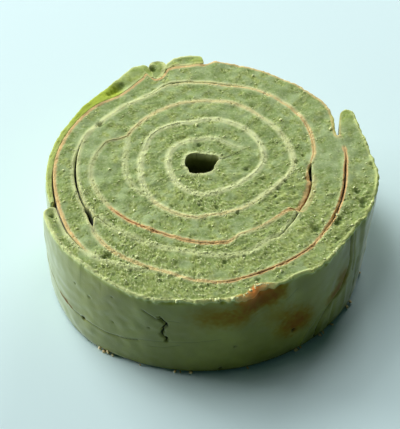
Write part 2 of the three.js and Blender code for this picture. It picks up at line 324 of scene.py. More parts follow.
hole_radius = smooth_curve(HOLE_RIM)
LINES = {
    "hole": plain_line(HOLE_RIM, 0.0, 0.75)._replace(radius=lambda x: hole_radius(x % 360)),
    "start": plain_line(SHEET_START, 0.0, 0.0, level(FUSED)),
    "seam": Line(smooth_curve(SEAM), smooth_curve(SEAM_TOAST), smooth_curve(BROWN_BEYOND),
                 smooth_curve(SEAM_HALO), slit_width, smooth_curve(SEAM_BAND)),
    "first_scarf": plain_line(FIRST_SCARF, 0.0, 0.6, level(FUSED)),
    "second_scarf": plain_line(SECOND_SCARF, 0.05, 0.6, smooth_curve(SCARF_SLIT)),
    # the pale band along the free outline is partly a painted highlight on the raised rim
    "outline": plain_line(OUTLINE, 0.0, 0.9),
    "flap": plain_line(FLAP_INSIDE, 0.2, 0.3),
    "skin": plain_line(SKIN_OUTSIDE, 0.0, 0.6),
    "scrap": plain_line(SCRAP_OUTSIDE, 0.0, 1.0),
}

# Each sheet's two sides: stretches of winding angle, the line that each follows, and the turn
# that is added to the winding angle to read that line. The outer side is free over open_wall.
Sheet = namedtuple("Sheet", "start end inner outer start_round end_round open_wall step across rows")
SHEETS = {
    "first_sheet": Sheet(
        22.3, 938.5,
        [(22, 382, "hole", 0), (382, 387, "start", -360), (387, 940, "seam", -360)],
        [(22, 27, "start", 0), (27, 873, "seam", 0), (873, 940, "first_scarf", -720)],
        0.5, 3, None, 0.2, 38, 6),
    "second_sheet": Sheet(
        873.5, 1405.2,
        [(873, 939, "first_scarf", -720), (939, 1406, "seam", -360)],
        [(873, 1294.5, "seam", 0), (1294.5, 1406, "second_scarf", -1080)],
        1.5, 2.2, None, 0.2, 42, 8),
    "third_sheet": Sheet(
        1294.8, 1689,
        [(1294.5, 1405.5, "second_scarf", -1080), (1405.5, 1690, "seam", -360)],
        [(1294.5, 1690, "seam", 0)],
        2.0, 3, (1455, 1532), 0.22, 34, 30),
    "outer_sheet": Sheet(
        1642, 1828.3,
        [(1642, 1690, "seam", 0), (1690, 1816.5, "seam", -360), (1816.5, 1829, "flap", -1440)],
        [(1642, 1829, "outline", -1440)],
        1.6, 1.2, (1640, 1830), 0.24, 36, 106),
    "thin_skin": Sheet(
        1551.5, 1640.5,
        [(1551, 1641, "seam", 0)], [(1551, 1641, "skin", -1440)],
        2.2, 2, (1540, 1650), 0.24, 16, 70),
    "back_scrap": Sheet(
        1529.6, 1545.4,
        [(1529, 1546, "seam", 0)], [(1529, 1546, "scrap", -1440)],
        1.0, 1.6, (1520, 1550), 0.2, 26, 80),
}

# ------------------------------------------------------------------ relief of the cut face

MAP_SIDE = 92.0
MAP_CELLS = 1150
# heights in mm of the lumps, ledges, raised crumbs and pores
BROAD_HEIGHT = 0.08
LEDGE_HEIGHT = 0.06
FINE_HEIGHT = 0.027
MEDIUM_HEIGHT = 0.022
CRUMB_PROUD = 0.12
PORE_DEPTH = 0.24
# roughness: its mean, how much it varies, and how much it grows towards the front, over y in mm
MEAN_ROUGH = 0.44
PATCHY_ROUGH = 0.2
FRONT_ROUGH = 0.24
FRONT = (2, -16)
SMOOTHING = -0.6
ROUGHENING = 0.4


def rolling_noise(cells_y, cells_x, cell, finest, coarsest, rng):
    """Smooth noise of unit spread: white noise kept between two wavelengths, in mm, by a
    Gaussian window on its spectrum. It repeats at the map's edges."""
    fy = np.fft.fftfreq(cells_y, cell)[:, None]
    fx = np.fft.rfftfreq(cells_x, cell)[None, :]
    frequency = np.hypot(fx, fy)
    window = np.exp(-((frequency * finest) ** 2)) - np.exp(-((frequency * coarsest) ** 2))
    noise = np.fft.irfft2(
        np.fft.rfft2(rng.standard_normal((cells_y, cells_x))) * window, (cells_y, cells_x)
    )
    return noise / noise.std()


def step_between(low, high, x):
    """0 below low, 1 above high, and 3t^2 - 2t^3 between."""
    t = np.clip((x - low) / (high - low), 0, 1)
    return t * t * (3 - 2 * t)


def bell(x, width):
    """Gaussian bell of x: 1 at zero and 1/e at the width."""
    return np.exp(-((x / width) ** 2))


def sample(field, x, y, side_x, side_y):
    """Bilinear value of a repeating map at points in mm."""
    rows, columns = field.shape
    u = (x / side_x + 0.5) * columns
    v = (y / side_y + 0.5) * rows
    i = np.floor(u).astype(int)
    j = np.floor(v).astype(int)
    fu = u - i
    fv = v - j
    i0, i1 = i % columns, (i + 1) % columns
    j0, j1 = j % rows, (j + 1) % rows
    return (
        field[j0, i0] * (1 - fu) * (1 - fv) + field[j0, i1] * fu * (1 - fv)
        + field[j1, i0] * (1 - fu) * fv + field[j1, i1] * fu * fv
    )


# holes torn in the crumb, painted in shade: angle, radius, half width and depth
TORN_PITS = [
    (234.2, 36.0, 0.7, 0.6), (233.4, 37.1, 0.6, 0.6), (244.7, 37.2, 0.4, 0.4),
    (279.6, 31.4, 0.5, 0.5), (268.1, 13.5, 0.5, 0.5), (284.1, 14.6, 0.5, 0.5),
    (328.8, 20.5, 0.5, 0.5), (324.3, 22.0, 0.4, 0.5), (321.9, 33.6, 0.8, 0.7),
    (329.2, 36.8, 0.8, 0.8), (331.3, 36.7, 0.5, 0.7), (342.6, 39.8, 0.8, 0.6),
    (340.5, 40.3, 0.6, 0.5), (346.8, 37.9, 0.6, 0.5), (4.6, 42.2, 0.4, 0.4),
    (0.4, 41.0, 0.4, 0.3), (151.9, 28.9, 0.8, 0.7), (125.6, 35.2, 0.6, 0.5),
    (127.4, 34.9, 0.9, 0.7), (129.8, 34.6, 0.7, 0.7), (131.8, 34.4, 0.7, 0.7),
    (133.8, 34.2, 0.6, 0.5), (351.1, 11.0, 0.6, 0.5), (7.1, 24.8, 0.5, 0.4),
    (1.7, 22.8, 0.5, 0.5), (349.4, 25.6, 0.6, 0.5), (297.7, 18.1, 0.4, 0.4),
    (288.5, 30.8, 0.4, 0.5), (289.1, 38.3, 0.5, 0.5), (205.9, 38.9, 0.45, 0.6),
    (110.5, 37.1, 0.75, 1.0), (97, 6.6, 0.5, 0.5), (250, 6.6, 0.4, 0.4),
    (336, 20.0, 0.6, 0.4), (344, 20.8, 0.5, 0.4),
]
# smooth hollows: angle, radius, half length along the turn, half width across it, depth
HOLLOWS = [
    (208.5, 38.7, 2.6, 0.8, 0.55), (213.5, 38.9, 2.4, 0.7, 0.4), (352, 38.0, 4.0, 1.6, 0.3),
    (342, 38.6, 3.5, 1.5, 0.35), (129, 34.0, 2.6, 0.7, 0.4), (357, 25.9, 1.6, 0.7, 0.5),
    (318, 35.5, 5.0, 1.2, 0.25),
]
# patches that the knife dragged smooth: angle, radius, half width
SMOOTH_PATCHES = [
    (140.7, 30.5, 3.0), (124.2, 32.3, 3.0), (157, 30.2, 3.0), (188.6, 24.8, 3.6),
    (213.5, 23.5, 3.4), (234, 20.6, 2.6), (268.9, 21.6, 2.6), (294, 21.7, 2.6),
    (359.3, 31, 3.6), (291.3, 38.9, 2.4), (303.5, 39.6, 2.2), (7.8, 35.3, 2.6),
    (88.7, 32.2, 3.2), (51.1, 31.6, 2.8), (34.9, 14.4, 2.2), (206.7, 37.0, 2.4),
    (212.7, 39.3, 1.8), (12, 33.0, 2.6), (170, 27, 3.0), (250, 24.0, 2.0), (70, 19.0, 2.4),
    (222, 34.5, 3.0), (262, 31.5, 2.4), (276, 33.5, 2.6), (228, 38.5, 2.2),
    (26.5, 40.0, 3.0), (20.0, 39.5, 2.5),
]
# patches torn rough: angle, radius, half width
ROUGH_PATCHES = [
    (236, 36.5, 4.0), (250, 36, 5.5), (268, 36, 6.0), (322, 34, 4.0), (331, 37, 3.4),
    (345, 39, 3.0), (275, 13.5, 4.0), (330, 20.5, 4.0), (240, 31, 4.0), (280, 29.5, 4.5),
    (200, 30, 4.0), (258, 6.5, 3.0), (20, 22, 3.0), (354, 22.5, 3.0), (120, 12, 3.0),
    (300, 32.5, 4.0),
]


def polar_place(angle, radius):
    """Places in mm, from the box's centre, of angles and radii about the hole."""
    turn = np.radians(angle)
    return HOLE[0] + radius * np.cos(turn), HOLE[1] + radius * np.sin(turn)


def crumb_maps():
    """Maps over the cut face of its height in mm and, from 0 to about 1, of how dark, how raised
    and how rough it is.

    Lumps are two noises of crumb size added together. Where they are far below their mean there
    is a dark pore, and far above it a crumb stands proud. Both grow with roughness, which is a
    wide noise with rough and smooth patches put in by place. Ledges are a noise drawn out along
    the turns. Torn pits are flat dents with ragged edges, and hollows are Gaussian dents.
    """
    rng = np.random.default_rng(SEED)
    cell = MAP_SIDE / MAP_CELLS
    square = (MAP_CELLS, MAP_CELLS, cell)
    fine = rolling_noise(*square, 0.3, 0.85, rng)
    medium = rolling_noise(*square, 0.8, 2.4, rng)
    broad = rolling_noise(*square, 4.0, 15.0, rng)
    patchy = rolling_noise(*square, 2.5, 7.0, rng)
    ledges = rolling_noise(*square, 1.6, 4.5, rng)
    axis = (np.arange(MAP_CELLS) / MAP_CELLS - 0.5) * MAP_SIDE
    x, y = np.meshgrid(axis, axis)
    turn_mm = np.arctan2(y - HOLE[1], x - HOLE[0]) * MAP_SIDE / (2 * math.pi)
    from_hole = np.hypot(x - HOLE[0], y - HOLE[1])
    ledges = sample(ledges, turn_mm, from_hole, MAP_SIDE, MAP_SIDE)
    rough = MEAN_ROUGH + PATCHY_ROUGH * patchy + FRONT_ROUGH * step_between(*FRONT, y)
    for patches, change in ((SMOOTH_PATCHES, SMOOTHING), (ROUGH_PATCHES, ROUGHENING)):
        for angle, radius, half in patches:
            px, py = polar_place(angle, radius)
            near = (x - px) ** 2 + (y - py) ** 2
            rough += change * np.exp(-near / half**2) * (1 + 0.3 * medium)
    rough = np.clip(rough, 0.12, 1.15)
    lumps = 0.75 * fine + 0.65 * medium
    raised = step_between(1.0, 2.3, lumps + 0.3 * rough) * rough
    pore = step_between(1.2, 2.4, 0.5 * rough - lumps) * rough
    height = (
        BROAD_HEIGHT * broad + LEDGE_HEIGHT * rough * ledges
        + rough * (FINE_HEIGHT * fine + MEDIUM_HEIGHT * medium)
        + CRUMB_PROUD * raised - PORE_DEPTH * pore
    )
    # painted shade in pores, and below it in torn pits
    dark = pore
    for angle, radius, half, depth in TORN_PITS:
        px, py = polar_place(angle, radius)
        ragged = np.clip(1 + 0.45 * fine, 0.3, 2)
        dent = np.exp(-((((x - px) ** 2 + (y - py) ** 2) / half**2) ** 1.5) * ragged)
        height -= depth * dent
        dark = np.maximum(dark, dent)
    for angle, radius, along, across, depth in HOLLOWS:
        px, py = polar_place(angle, radius)
        turn = math.radians(angle)
        out = (x - px) * math.cos(turn) + (y - py) * math.sin(turn)
        side = (y - py) * math.cos(turn) - (x - px) * math.sin(turn)
        height -= depth * np.exp(-((out / across) ** 2) - (side / along) ** 2)
    return height, np.clip(dark, 0, 1), np.clip(raised, 0, 1), rough


FACE_HEIGHT, FACE_SHADE, FACE_HIGHLIGHT, FACE_ROUGH = crumb_maps()


def on_face(field, x, y):
    """Values of one of the cut face's maps at places in mm."""
    return sample(field, x, y, MAP_SIDE, MAP_SIDE)


def turn_step(winding):
    """Height of a turn against its neighbours: a sum of slow waves of the winding angle, which
    begins after the first turn."""
    waves = sum(size * np.sin(rate * winding + start) for size, rate, start in TURN_STEPS)
    return waves * step_between(*STEPS_BEGIN, winding)


# ------------------------------------------------------------------ the outer wall

WALL_LENGTH = 300.0
WALL_CELLS = (128, 1400)
WALL_RADIUS = 42.0
WAVE_HEIGHT = 0.045
GRAIN_HEIGHT = 0.006
# a wall line is seen up to this far from its middle, and an edge of brown wanders this much
LINE_SEEN = (0.75, 0.4)
BROWN_EDGE = (1.25, 0.1)
BROWN_WANDER = 0.07


def wall_maps():
    """Height in mm of the baked skin over arc length and height: long shallow waves, and how
    far a brown patch's edge wanders."""
    rng = np.random.default_rng(SEED + 1)
    cell = WALL_LENGTH / WALL_CELLS[1]
    waves = rolling_noise(*WALL_CELLS, cell, 4.0, 14.0, rng)
    grain = rolling_noise(*WALL_CELLS, cell, 0.45, 1.2, rng)
    wander = rolling_noise(*WALL_CELLS, cell, 1.2, 5.0, rng)
    return WAVE_HEIGHT * waves + GRAIN_HEIGHT * grain, wander


SKIN_HEIGHT, SKIN_WANDER = wall_maps()

# lines of the outer wall: points as (angle, height), half width and strength of the painted
# shade along the line, half width and depth of the groove, which is a ridge where the depth is
# below zero
WALL_LINES = [
    ([(205.6, 22.0), (205.8, 18.0), (205.6, 14.8), (207.1, 12.7), (210.0, 11.7), (212.4, 10.2),
      (215.4, 9.2), (218.3, 8.9), (221.6, 9.1), (225.0, 8.7), (229.0, 8.8), (232.5, 9.0),
      (236.5, 8.8), (241.3, 8.9), (245.5, 9.4), (250.0, 10.4)], 0.1, 0.75, 0.3, 0.12),
    ([(240, 8.7), (247, 10.3), (254, 11.7), (260, 12.2), (269, 12.8), (276, 13.4)],
     0.1, 0.35, 0.3, 0.05),
    ([(254, 9.4), (258.6, 9.9), (263, 11.2)], 0.1, 0.4, 0.3, 0.05),
    ([(257.3, 21.4), (258.1, 20.2), (259.3, 19.3), (259.2, 18.6), (258.2, 17.4), (258.3, 16.2),
      (257.7, 15.1), (258.0, 14.4), (259.3, 13.7), (259.1, 12.4)], 0.22, 1.0, 0.3, 0.8),
    ([(257.4, 21.3), (258.1, 20.4)], 0.36, 1.0, 0.4, 0.2),
    ([(259.2, 19.3), (259.4, 18.5)], 0.42, 1.0, 0.4, 0.2),
    ([(258.2, 16.4), (257.7, 15.2)], 0.36, 1.0, 0.4, 0.2),
    ([(259.2, 13.7), (259.2, 12.9)], 0.38, 1.0, 0.4, 0.2),
    ([(252.6, 23.1), (254.6, 21.8), (256.0, 20.7), (257.6, 20.4)], 0.11, 0.8, 0.25, 0.2),
    ([(258.3, 20.3), (261, 20.4), (263.5, 20.1)], 0.09, 0.5, 0.25, 0.05),
    ([(327.8, 26.9), (326.8, 23.9), (326.8, 18.0), (325.8, 15.8), (323.6, 13.8), (321.5, 11.6),
      (318.2, 10.6), (315.7, 9.7), (313.5, 8.1), (311.9, 6.0), (311.0, 3.4), (310.3, 0.6)],
     0.26, 0.85, 0.55, 0.75),
    ([(329.9, 26.4), (328.9, 22.9), (329.4, 17.9), (328.9, 14.1)], 0.16, 0.6, 0.4, 0.3),
    ([(308.2, 8.7), (305.7, 5.8), (303.9, 1.8)], 0.1, 0.0, 0.6, -0.35),
    ([(318.5, 9.4), (317.5, 5.0), (317.0, 0.8)], 0.1, 0.0, 0.7, 0.3),
    ([(324.5, 11.5), (324.0, 6.0), (322.5, 1.0)], 0.1, 0.0, 0.8, -0.25),
    ([(332.5, 15.0), (331.5, 9.0), (330.0, 3.0)], 0.1, 0.0, 0.8, 0.2),
    ([(301.6, 23.2), (299.6, 22.5), (297.6, 21.9)], 0.1, 0.5, 0.25, 0.05),
]
# dents of the outer wall, painted in shade that grows with their depth: angle, height, half
# width, depth
WALL_DENTS = [
    (229.6, 8.8, 0.55, 0.7), (232.8, 18.4, 0.5, 0.18), (226.6, 19.6, 0.35, 0.2),
    (242.1, 23.4, 0.3, 0.15), (241.7, 14.0, 0.25, 0.2), (254.0, 16.8, 0.35, 0.25),
    (280.6, 10.1, 0.4, 0.3), (300.6, 9.3, 0.5, 0.5), (276.1, 1.5, 0.5, 0.4),
]
# patches browned by the pan: angle, height, half width in mm along and up, strength
WALL_BROWN = [
    (284.5, 25.0, 4.6, 5.0, 0.65), (290, 24.6, 4.6, 4.6, 0.75), (295, 25.4, 3.6, 4.4, 0.6),
    (272.5, 23.4, 7.0, 4.4, 0.4), (277.0, 20.4, 7.5, 4.4, 0.45), (282, 20.5, 5.0, 4.6, 0.3),
    (294, 17.5, 5.6, 5.4, 0.4), (300.5, 14.8, 4.6, 5.4, 0.45), (303, 11.0, 4.4, 5.0, 0.6),
    (297.5, 10.6, 4.4, 4.6, 0.5), (307, 13.5, 4.0, 6.0, 0.25), (323.0, 15.4, 3.6, 3.4, 0.55),
    (319.6, 13.2, 3.8, 3.2, 0.6), (315.8, 12.2, 3.6, 3.0, 0.45), (321.5, 18.4, 4.0, 3.6, 0.35),
    (217.3, 9.1, 1.6, 1.0, 0.75), (220.3, 9.0, 1.9, 1.2, 0.95), (223.2, 8.9, 1.3, 0.8, 0.75),
    (206.3, 13.6, 1.1, 3.4, 0.35), (211.0, 11.0, 2.4, 1.4, 0.35), (266, 18.0, 9.0, 6.0, 0.15),
    (330, 22.0, 4.0, 5.0, 0.2),
]
# where the rim itself is scorched: angle, half width in degrees, strength
RIM_SCORCH = [(286.6, 3.0, 1.0), (291.0, 2.6, 0.35), (282.0, 2.2, 0.35), (274.0, 5.0, 0.12)]
# how pale the baked skin is painted by angle: a painted sheen, palest on the lit left and back
SKIN_SHEEN = [
    (0, 0.3), (20, 0.7), (90, 0.8), (200, 0.85), (213, 0.75), (228, 0.35), (250, 0.05), (345, 0.0),
    (360, 0.3),
]
# how ragged the free rim is, by angle
RIM_RAGGED = [
    (0, 0.07), (200, 0.03), (245, 0.03), (257, 0.12), (300, 0.1), (325, 0.07), (360, 0.07),
]


def distance_to_path(path, along, height):
    """Distance in mm, over the unrolled wall, from points to a line of straight pieces; it is
    negative on one side of the line."""
    best = np.full(np.broadcast(along, height).shape, 1e9)
    for (a0, h0), (a1, h1) in zip(path[:-1], path[1:]):
        x0, x1 = math.radians(a0) * WALL_RADIUS, math.radians(a1) * WALL_RADIUS
        length2 = (x1 - x0) ** 2 + (h1 - h0) ** 2
        t = np.clip(((along - x0) * (x1 - x0) + (height - h0) * (h1 - h0)) / length2, 0, 1)
        gap_x = along - x0 - t * (x1 - x0)
        gap_h = height - h0 - t * (h1 - h0)
        gap = np.hypot(gap_x, gap_h)
        side = np.where((x1 - x0) * gap_h < (h1 - h0) * gap_x, -1, 1)
        best = np.where(gap < np.abs(best), side * gap, best)
    return best


def wall_relief(angle, height):
    """Outward height in mm of the outer wall at angles (0 to 360) and heights, and its marks:
    browning, darkness, and the strength of the nearest line with the distance from it in half
    widths. Grooves are Gaussian round their lines, dents are flat Gaussians, and a brown patch
    is an ellipse whose edge wanders."""
    along = np.radians(angle) * WALL_RADIUS
    relief = sample(SKIN_HEIGHT, along, height, WALL_LENGTH, HEIGHT)
    wander = sample(SKIN_WANDER, along, height, WALL_LENGTH, HEIGHT)
    marks = {key: np.zeros_like(relief) for key in ("brown", "dark", "line", "gap")}
    nearest = np.full_like(relief, 1e9)
    for path, half, strength, groove, depth in WALL_LINES:
        distance = distance_to_path(path, along, height)
        relief = relief - depth * bell(distance, groove)
        if strength:
            nearer = np.abs(distance) < nearest
            nearest = np.where(nearer, np.abs(distance), nearest)
            seen = strength * step_between(*LINE_SEEN, np.abs(distance))
            marks["line"] = np.where(nearer, seen, marks["line"])
            marks["gap"] = np.where(nearer, np.clip(distance / half, -8, 8), marks["gap"])
    for dent_angle, dent_height, half, depth in WALL_DENTS:
        gap = np.hypot(along - math.radians(dent_angle) * WALL_RADIUS, height - dent_height)
        near = np.exp(-((gap / half) ** 4))
        relief = relief - depth * near
        # painted shade in the dent, by its depth
        marks["dark"] = np.maximum(marks["dark"], near * min(1.0, 2 * depth))
    for patch_angle, patch_height, half_along, half_up, strength in WALL_BROWN:
        gap = np.hypot(
            (along - math.radians(patch_angle) * WALL_RADIUS) / half_along,
            (height - patch_height) / half_up,
        )
        patch = strength * step_between(*BROWN_EDGE, gap + BROWN_WANDER * wander)
        marks["brown"] = 1 - (1 - marks["brown"]) * (1 - patch)
    return relief, marks


def rim_scorch(angle):
    """How brown the rim itself is: Gaussian stretches of the outline."""
    total = np.zeros_like(angle)
    for middle, half, strength in RIM_SCORCH:
        total += strength * bell(angle - middle, half)
    return np.clip(total, 0, 1)


# ------------------------------------------------------------------ sheets as grids

# how far points crowd to the edges of the cut face, and rows to the wall's rim and foot
EDGE_CROWDING = 0.6
ROW_CROWDING = 0.25
BOTTOM_ROWS = 10
INNER_ROWS = 9
# the thinnest that a sheet is in mm, and at its rounded ends as a share of its thickness
LEAST_THICKNESS = 0.06
LEAST_SHARE = 0.02
# beside a seam, heights and widths in mm: the shoulder's by brown and by slit, the slope of bare
# skin, and the pale ridge
SHOULDER_BY_TOAST = 0.14
SHOULDER_BY_SLIT = 0.25
SHOULDER_WIDTH = 0.18
SLOPE_DROP = 0.7
SLOPE_WIDTH = 1.4
RIDGE_HEIGHT = 0.13
RIDGE_WIDTH = 0.6
# the width of a slit with a full shoulder, and of brown where the slope of bare skin shows
FULL_SLIT = 0.4
BARE_BAND = (1.9, 2.5)
# the pale crumb beside a seam fades between these distances
HALO_FADES = (1.3, 0.35)
# the rim: width and drop of its round corner, what a scorch adds to them, and its crest
RIM_WIDTH = 0.6
RIM_DROP = 0.4
SCORCH_WIDTH = 1.3
SCORCH_DROP = 0.75
RIM_CREST = 0.22
CREST_WIDTH = 0.35
# power of the share across the face by which the rim's raggedness grows outwards, the thickness
# of a sheet with the full relief of the crumb, and the widest corner as a share of thickness
TEAR_POWER = 10
FULL_RELIEF = 0.6
WIDEST_CORNER = 0.45
# how random numbers are smoothed along the rim into its raggedness, and that into its crest
RAGGED_KERNEL = [0.2, 0.5, 0.9, 1.0, 0.9, 0.5, 0.2]
CREST_KERNEL = np.full(9, 0.17)
# the foot: width and rise of its round corner, height and width of the lower face's soft edge,
# and the depth of that face's pits
FOOT_WIDTH = 0.9
FOOT_RISE = 0.6
LOWER_EDGE = 0.12
LOWER_EDGE_WIDTH = 0.3
LOWER_PITS = 0.25
# how far down from the rim each reaches, in mm: the painted light of the rim and of slits, the
# scorch, the pale rim, which is partly a painted highlight, and the painted light of thin skin
RIM_LIGHT_REACH = 1.2
SLIT_LIGHT_REACH = 1.4
SCORCH_REACH = 2.0
PALE_RIM_REACH = 0.5
THIN_LIGHT_REACH = 5.0
# depths in mm between which painted shade grows down a slit or the hole, its strength, and the
# heights and strength of the painted contact shadow at the foot
SLIT_SHADE_DEPTHS = (0.8, 4.0)
SLIT_SHADE = 0.85
FOOT_SHADOW_HEIGHTS = (0.95, 0.5)
FOOT_SHADOW = 0.9
ATTRIBUTES = (
    "edge", "toast", "halo", "dark", "raised", "rough", "brown", "glow", "line", "gap",
)

# What a sheet's surface is made from: its two edges in plan, how far the wall's foot stands out
# past the outer one, the outward direction, both sides' finish, where the outer side is free,
# how much light comes through it and its rim, the angle on the wall, height over the mean, how
# ragged the rim is and how proud it stands, and whether the wall's marks show.
Strip = namedtuple(
    "Strip",
    "low high foot out inner outer free glow rim_glow angle lift ragged crest detailed",
)


def follow(stretches, winding):
    """Every quantity of a sheet's side at the winding angles."""
    side = {key: np.zeros_like(winding) for key in Line._fields}
    for start, end, name, turn in stretches:
        here = (winding >= start) & (winding <= end)
        for key in Line._fields:
            side[key][here] = getattr(LINES[name], key)(winding[here] + turn)
    return side


def even_windings(sheet):
    """Winding angles whose points on the sheet's middle line are one step apart."""
    trial = np.arange(sheet.start, sheet.end, 0.5)
    middle = (follow(sheet.inner, trial)["radius"] + follow(sheet.outer, trial)["radius"]) / 2
    arc = np.r_[0, np.cumsum(np.radians(np.diff(trial)) * (middle[1:] + middle[:-1]) / 2)]
    count = int(arc[-1] / sheet.step) + 1
    return np.interp(np.linspace(0, arc[-1], count), arc, trial)


def rounded_ends(sheet, winding):
    """Share of full thickness, an ellipse's quarter over the rounding angle at each end."""
    at_start = np.clip((winding - sheet.start) / sheet.start_round, 0, 1)
    at_end = np.clip((sheet.end - winding) / sheet.end_round, 0, 1)
    share = np.sqrt(1 - (1 - at_start) ** 2) * np.sqrt(1 - (1 - at_end) ** 2)
    return np.maximum(share, LEAST_SHARE)


def corner(distance, width, drop):
    """Lowering of a rounded corner: an ellipse's quarter, drop deep over the width."""
    t = np.clip(1 - distance / width, 0, 1)
    return drop * (1 - np.sqrt(1 - t * t))


def seam_relief(distance, side):
    """Height of the cut face beside a seam: a soft ridge where the seam is pale, a round
    shoulder where it is brown or open, and a long slope where bare skin shows."""
    slit = np.clip(side["slit"] / FULL_SLIT, 0, 1)[:, None]
    toast = side["toast"][:, None]
    shoulder = SHOULDER_BY_TOAST * toast + SHOULDER_BY_SLIT * slit
    shoulder = shoulder * bell(distance, SHOULDER_WIDTH)
    bare = step_between(*BARE_BAND, side["band"])[:, None]
    slope = SLOPE_DROP * bare * toast * np.clip(1 - distance / SLOPE_WIDTH, 0, 1) ** 1.3
    ridge = RIDGE_HEIGHT * side["halo"][:, None] * bell(distance, RIDGE_WIDTH)
    return ridge - shoulder - slope


def slab(strip, across, rows):
    """Sections of one sheet, as columns of points with their attributes, and which steps of a
    section are on a wall.

    A section runs out over the cut face, down the outer side to the foot, in under the lower
    face and up the inner side.
    """
    low, high, out, inner, outer = strip.low, strip.high, strip.out, strip.inner, strip.outer
    n = len(low)
    even = np.linspace(0, 1, across + 1)
    face = even - EDGE_CROWDING * np.sin(2 * np.pi * even) / (2 * np.pi)
    down = np.linspace(1, 0, rows + 2)
    crowded = 0.5 - 0.5 * np.cos(np.pi * down)
    down = ((1 - ROW_CROWDING) * down + ROW_CROWDING * crowded)[1:-1]
    up = np.linspace(0, 1, INNER_ROWS + 2)[1:-1]
    back = np.linspace(1, 0, BOTTOM_ROWS + 1)
    thickness = np.hypot(*(high - low).T)[:, None]
    free = strip.free[:, None]
    glow = strip.glow[:, None]
    foot = strip.foot[:, None]
    rng = np.random.default_rng(SEED + n)
    ragged = np.convolve(rng.standard_normal(n + 6), RAGGED_KERNEL, "valid")
    crest = np.clip(0.5 + 0.8 * np.convolve(ragged, CREST_KERNEL, "same"), 0, 1.3)
    crest = (RIM_CREST * crest * strip.crest)[:, None]
    scorched = rim_scorch(strip.angle)[:, None]
    rim_width = RIM_WIDTH + SCORCH_WIDTH * scorched
    rim_drop = RIM_DROP + SCORCH_DROP * scorched
    ragged = (strip.ragged * ragged * strip.free)[:, None]
    parts = []

    def add(x, y, z, **values):
        part = {"x": x, "y": y, "z": z}
        for key in ATTRIBUTES:
            part[key] = values.get(key, 0.0) + np.zeros_like(x)
        parts.append(part)

    def add_face(x, y, z, from_inner, from_outer, rim=1.0, **values):
        nearer_inner = from_inner < from_outer
        pick = lambda key: np.where(nearer_inner, inner[key][:, None], outer[key][:, None])
        beside_inner = inner["halo"][:, None] * step_between(*HALO_FADES, from_inner)
        # beside a free rim the pale band is narrower and partly a painted highlight; rim takes it off the lower face
        reach = HALO_FADES[0] - 0.2 * free
        beside_outer = outer["halo"][:, None] * step_between(reach, 0.4 * reach, from_outer)
        beside_outer = beside_outer * (1 - free * (1 - rim))
        add(x, y, z, edge=np.minimum(from_inner, from_outer) / pick("band"), toast=pick("toast"),
            halo=np.maximum(beside_inner, beside_outer), **values)

    # cut face
    from_inner = thickness * face
    from_outer = thickness * (1 - face)
    shift = ragged * face**TEAR_POWER
    x = low[:, :1] + (high - low)[:, :1] * face + out[:, :1] * shift
    y = low[:, 1:] + (high - low)[:, 1:] * face + out[:, 1:] * shift
    z = HEIGHT + on_face(FACE_HEIGHT, x, y) * np.minimum(1, thickness / FULL_RELIEF)
    z += strip.lift[:, None] + seam_relief(from_inner, inner)
    z += seam_relief(from_outer, outer) * (1 - free)
    corner_width = np.minimum(rim_width, WIDEST_CORNER * thickness)
    z -= free * corner(from_outer, corner_width, rim_drop)
    z += crest * bell(from_outer - 0.8 * rim_width, CREST_WIDTH)
    rim_light = free * bell(from_outer, 1.15 * rim_width) * strip.rim_glow[:, None]
    browned = step_between(1.3 * rim_width, 0.8 * rim_width, from_outer)
    # painted shade in pores and torn pits, a painted highlight on raised crumbs, and painted light through thin places
    # and the rim
    add_face(x, y, z, from_inner, from_outer, dark=on_face(FACE_SHADE, x, y),
             raised=on_face(FACE_HIGHLIGHT, x, y), rough=on_face(FACE_ROUGH, x, y),
             glow=np.maximum(glow, rim_light * (1 - scorched)), brown=free * scorched * browned)
    top_z = z

    # lower face, made before the outer side because that side ends on it
    span = thickness + foot
    lower_in = span * back
    lower_out = span - lower_in
    lower_x = low[:, :1] + out[:, :1] * lower_in
    lower_y = low[:, 1:] + out[:, 1:] * lower_in
    # pores of the lower face, from the cut face's map of painted shade, mirrored: their depth and their painted shade
    lower_pore_shade = on_face(FACE_SHADE, -lower_x, lower_y)
    lower_z = LOWER_PITS * lower_pore_shade
    lower_z += LOWER_EDGE * bell(np.minimum(lower_in, lower_out), LOWER_EDGE_WIDTH)
    lower_z += free * corner(lower_out, FOOT_WIDTH, FOOT_RISE)

    # outer side
    share = np.broadcast_to(down, (n, rows))
    z = lower_z[:, :1] + (top_z[:, -1:] - lower_z[:, :1]) * share
    relief, marks = wall_relief(strip.angle[:, None], z)
    if not strip.detailed:
        marks = {"brown": 0.0, "dark": 0.0}
    swell = BULGE * (1 - (2 * share - 1) ** 4)
    fade = step_between(1.0, 0.97, share) * step_between(0, 0.03, share)
    reach = foot * (1 - share**TORN_RIM) + free * (swell + relief * fade)
    reach += ragged * step_between(0.965, 1.0, share)
    below_rim = HEIGHT - z
    scorch = free * bell(below_rim, SCORCH_REACH) * scorched
    marks["brown"] = np.maximum(marks["brown"], scorch)
    # painted shade: a contact shadow along the foot of the free wall, and shade growing deeper down where the wall
    # faces a slit
    contact_shadow = FOOT_SHADOW * free * step_between(*FOOT_SHADOW_HEIGHTS, z)
    closed = SLIT_SHADE * (1 - free) * step_between(*SLIT_SHADE_DEPTHS, below_rim)
    marks["dark"] = np.maximum(marks["dark"], np.maximum(closed, contact_shadow))
    thin_light = glow * (0.25 + 0.75 * bell(below_rim, THIN_LIGHT_REACH))
    rim_light = 0.5 * free * bell(below_rim, RIM_LIGHT_REACH)
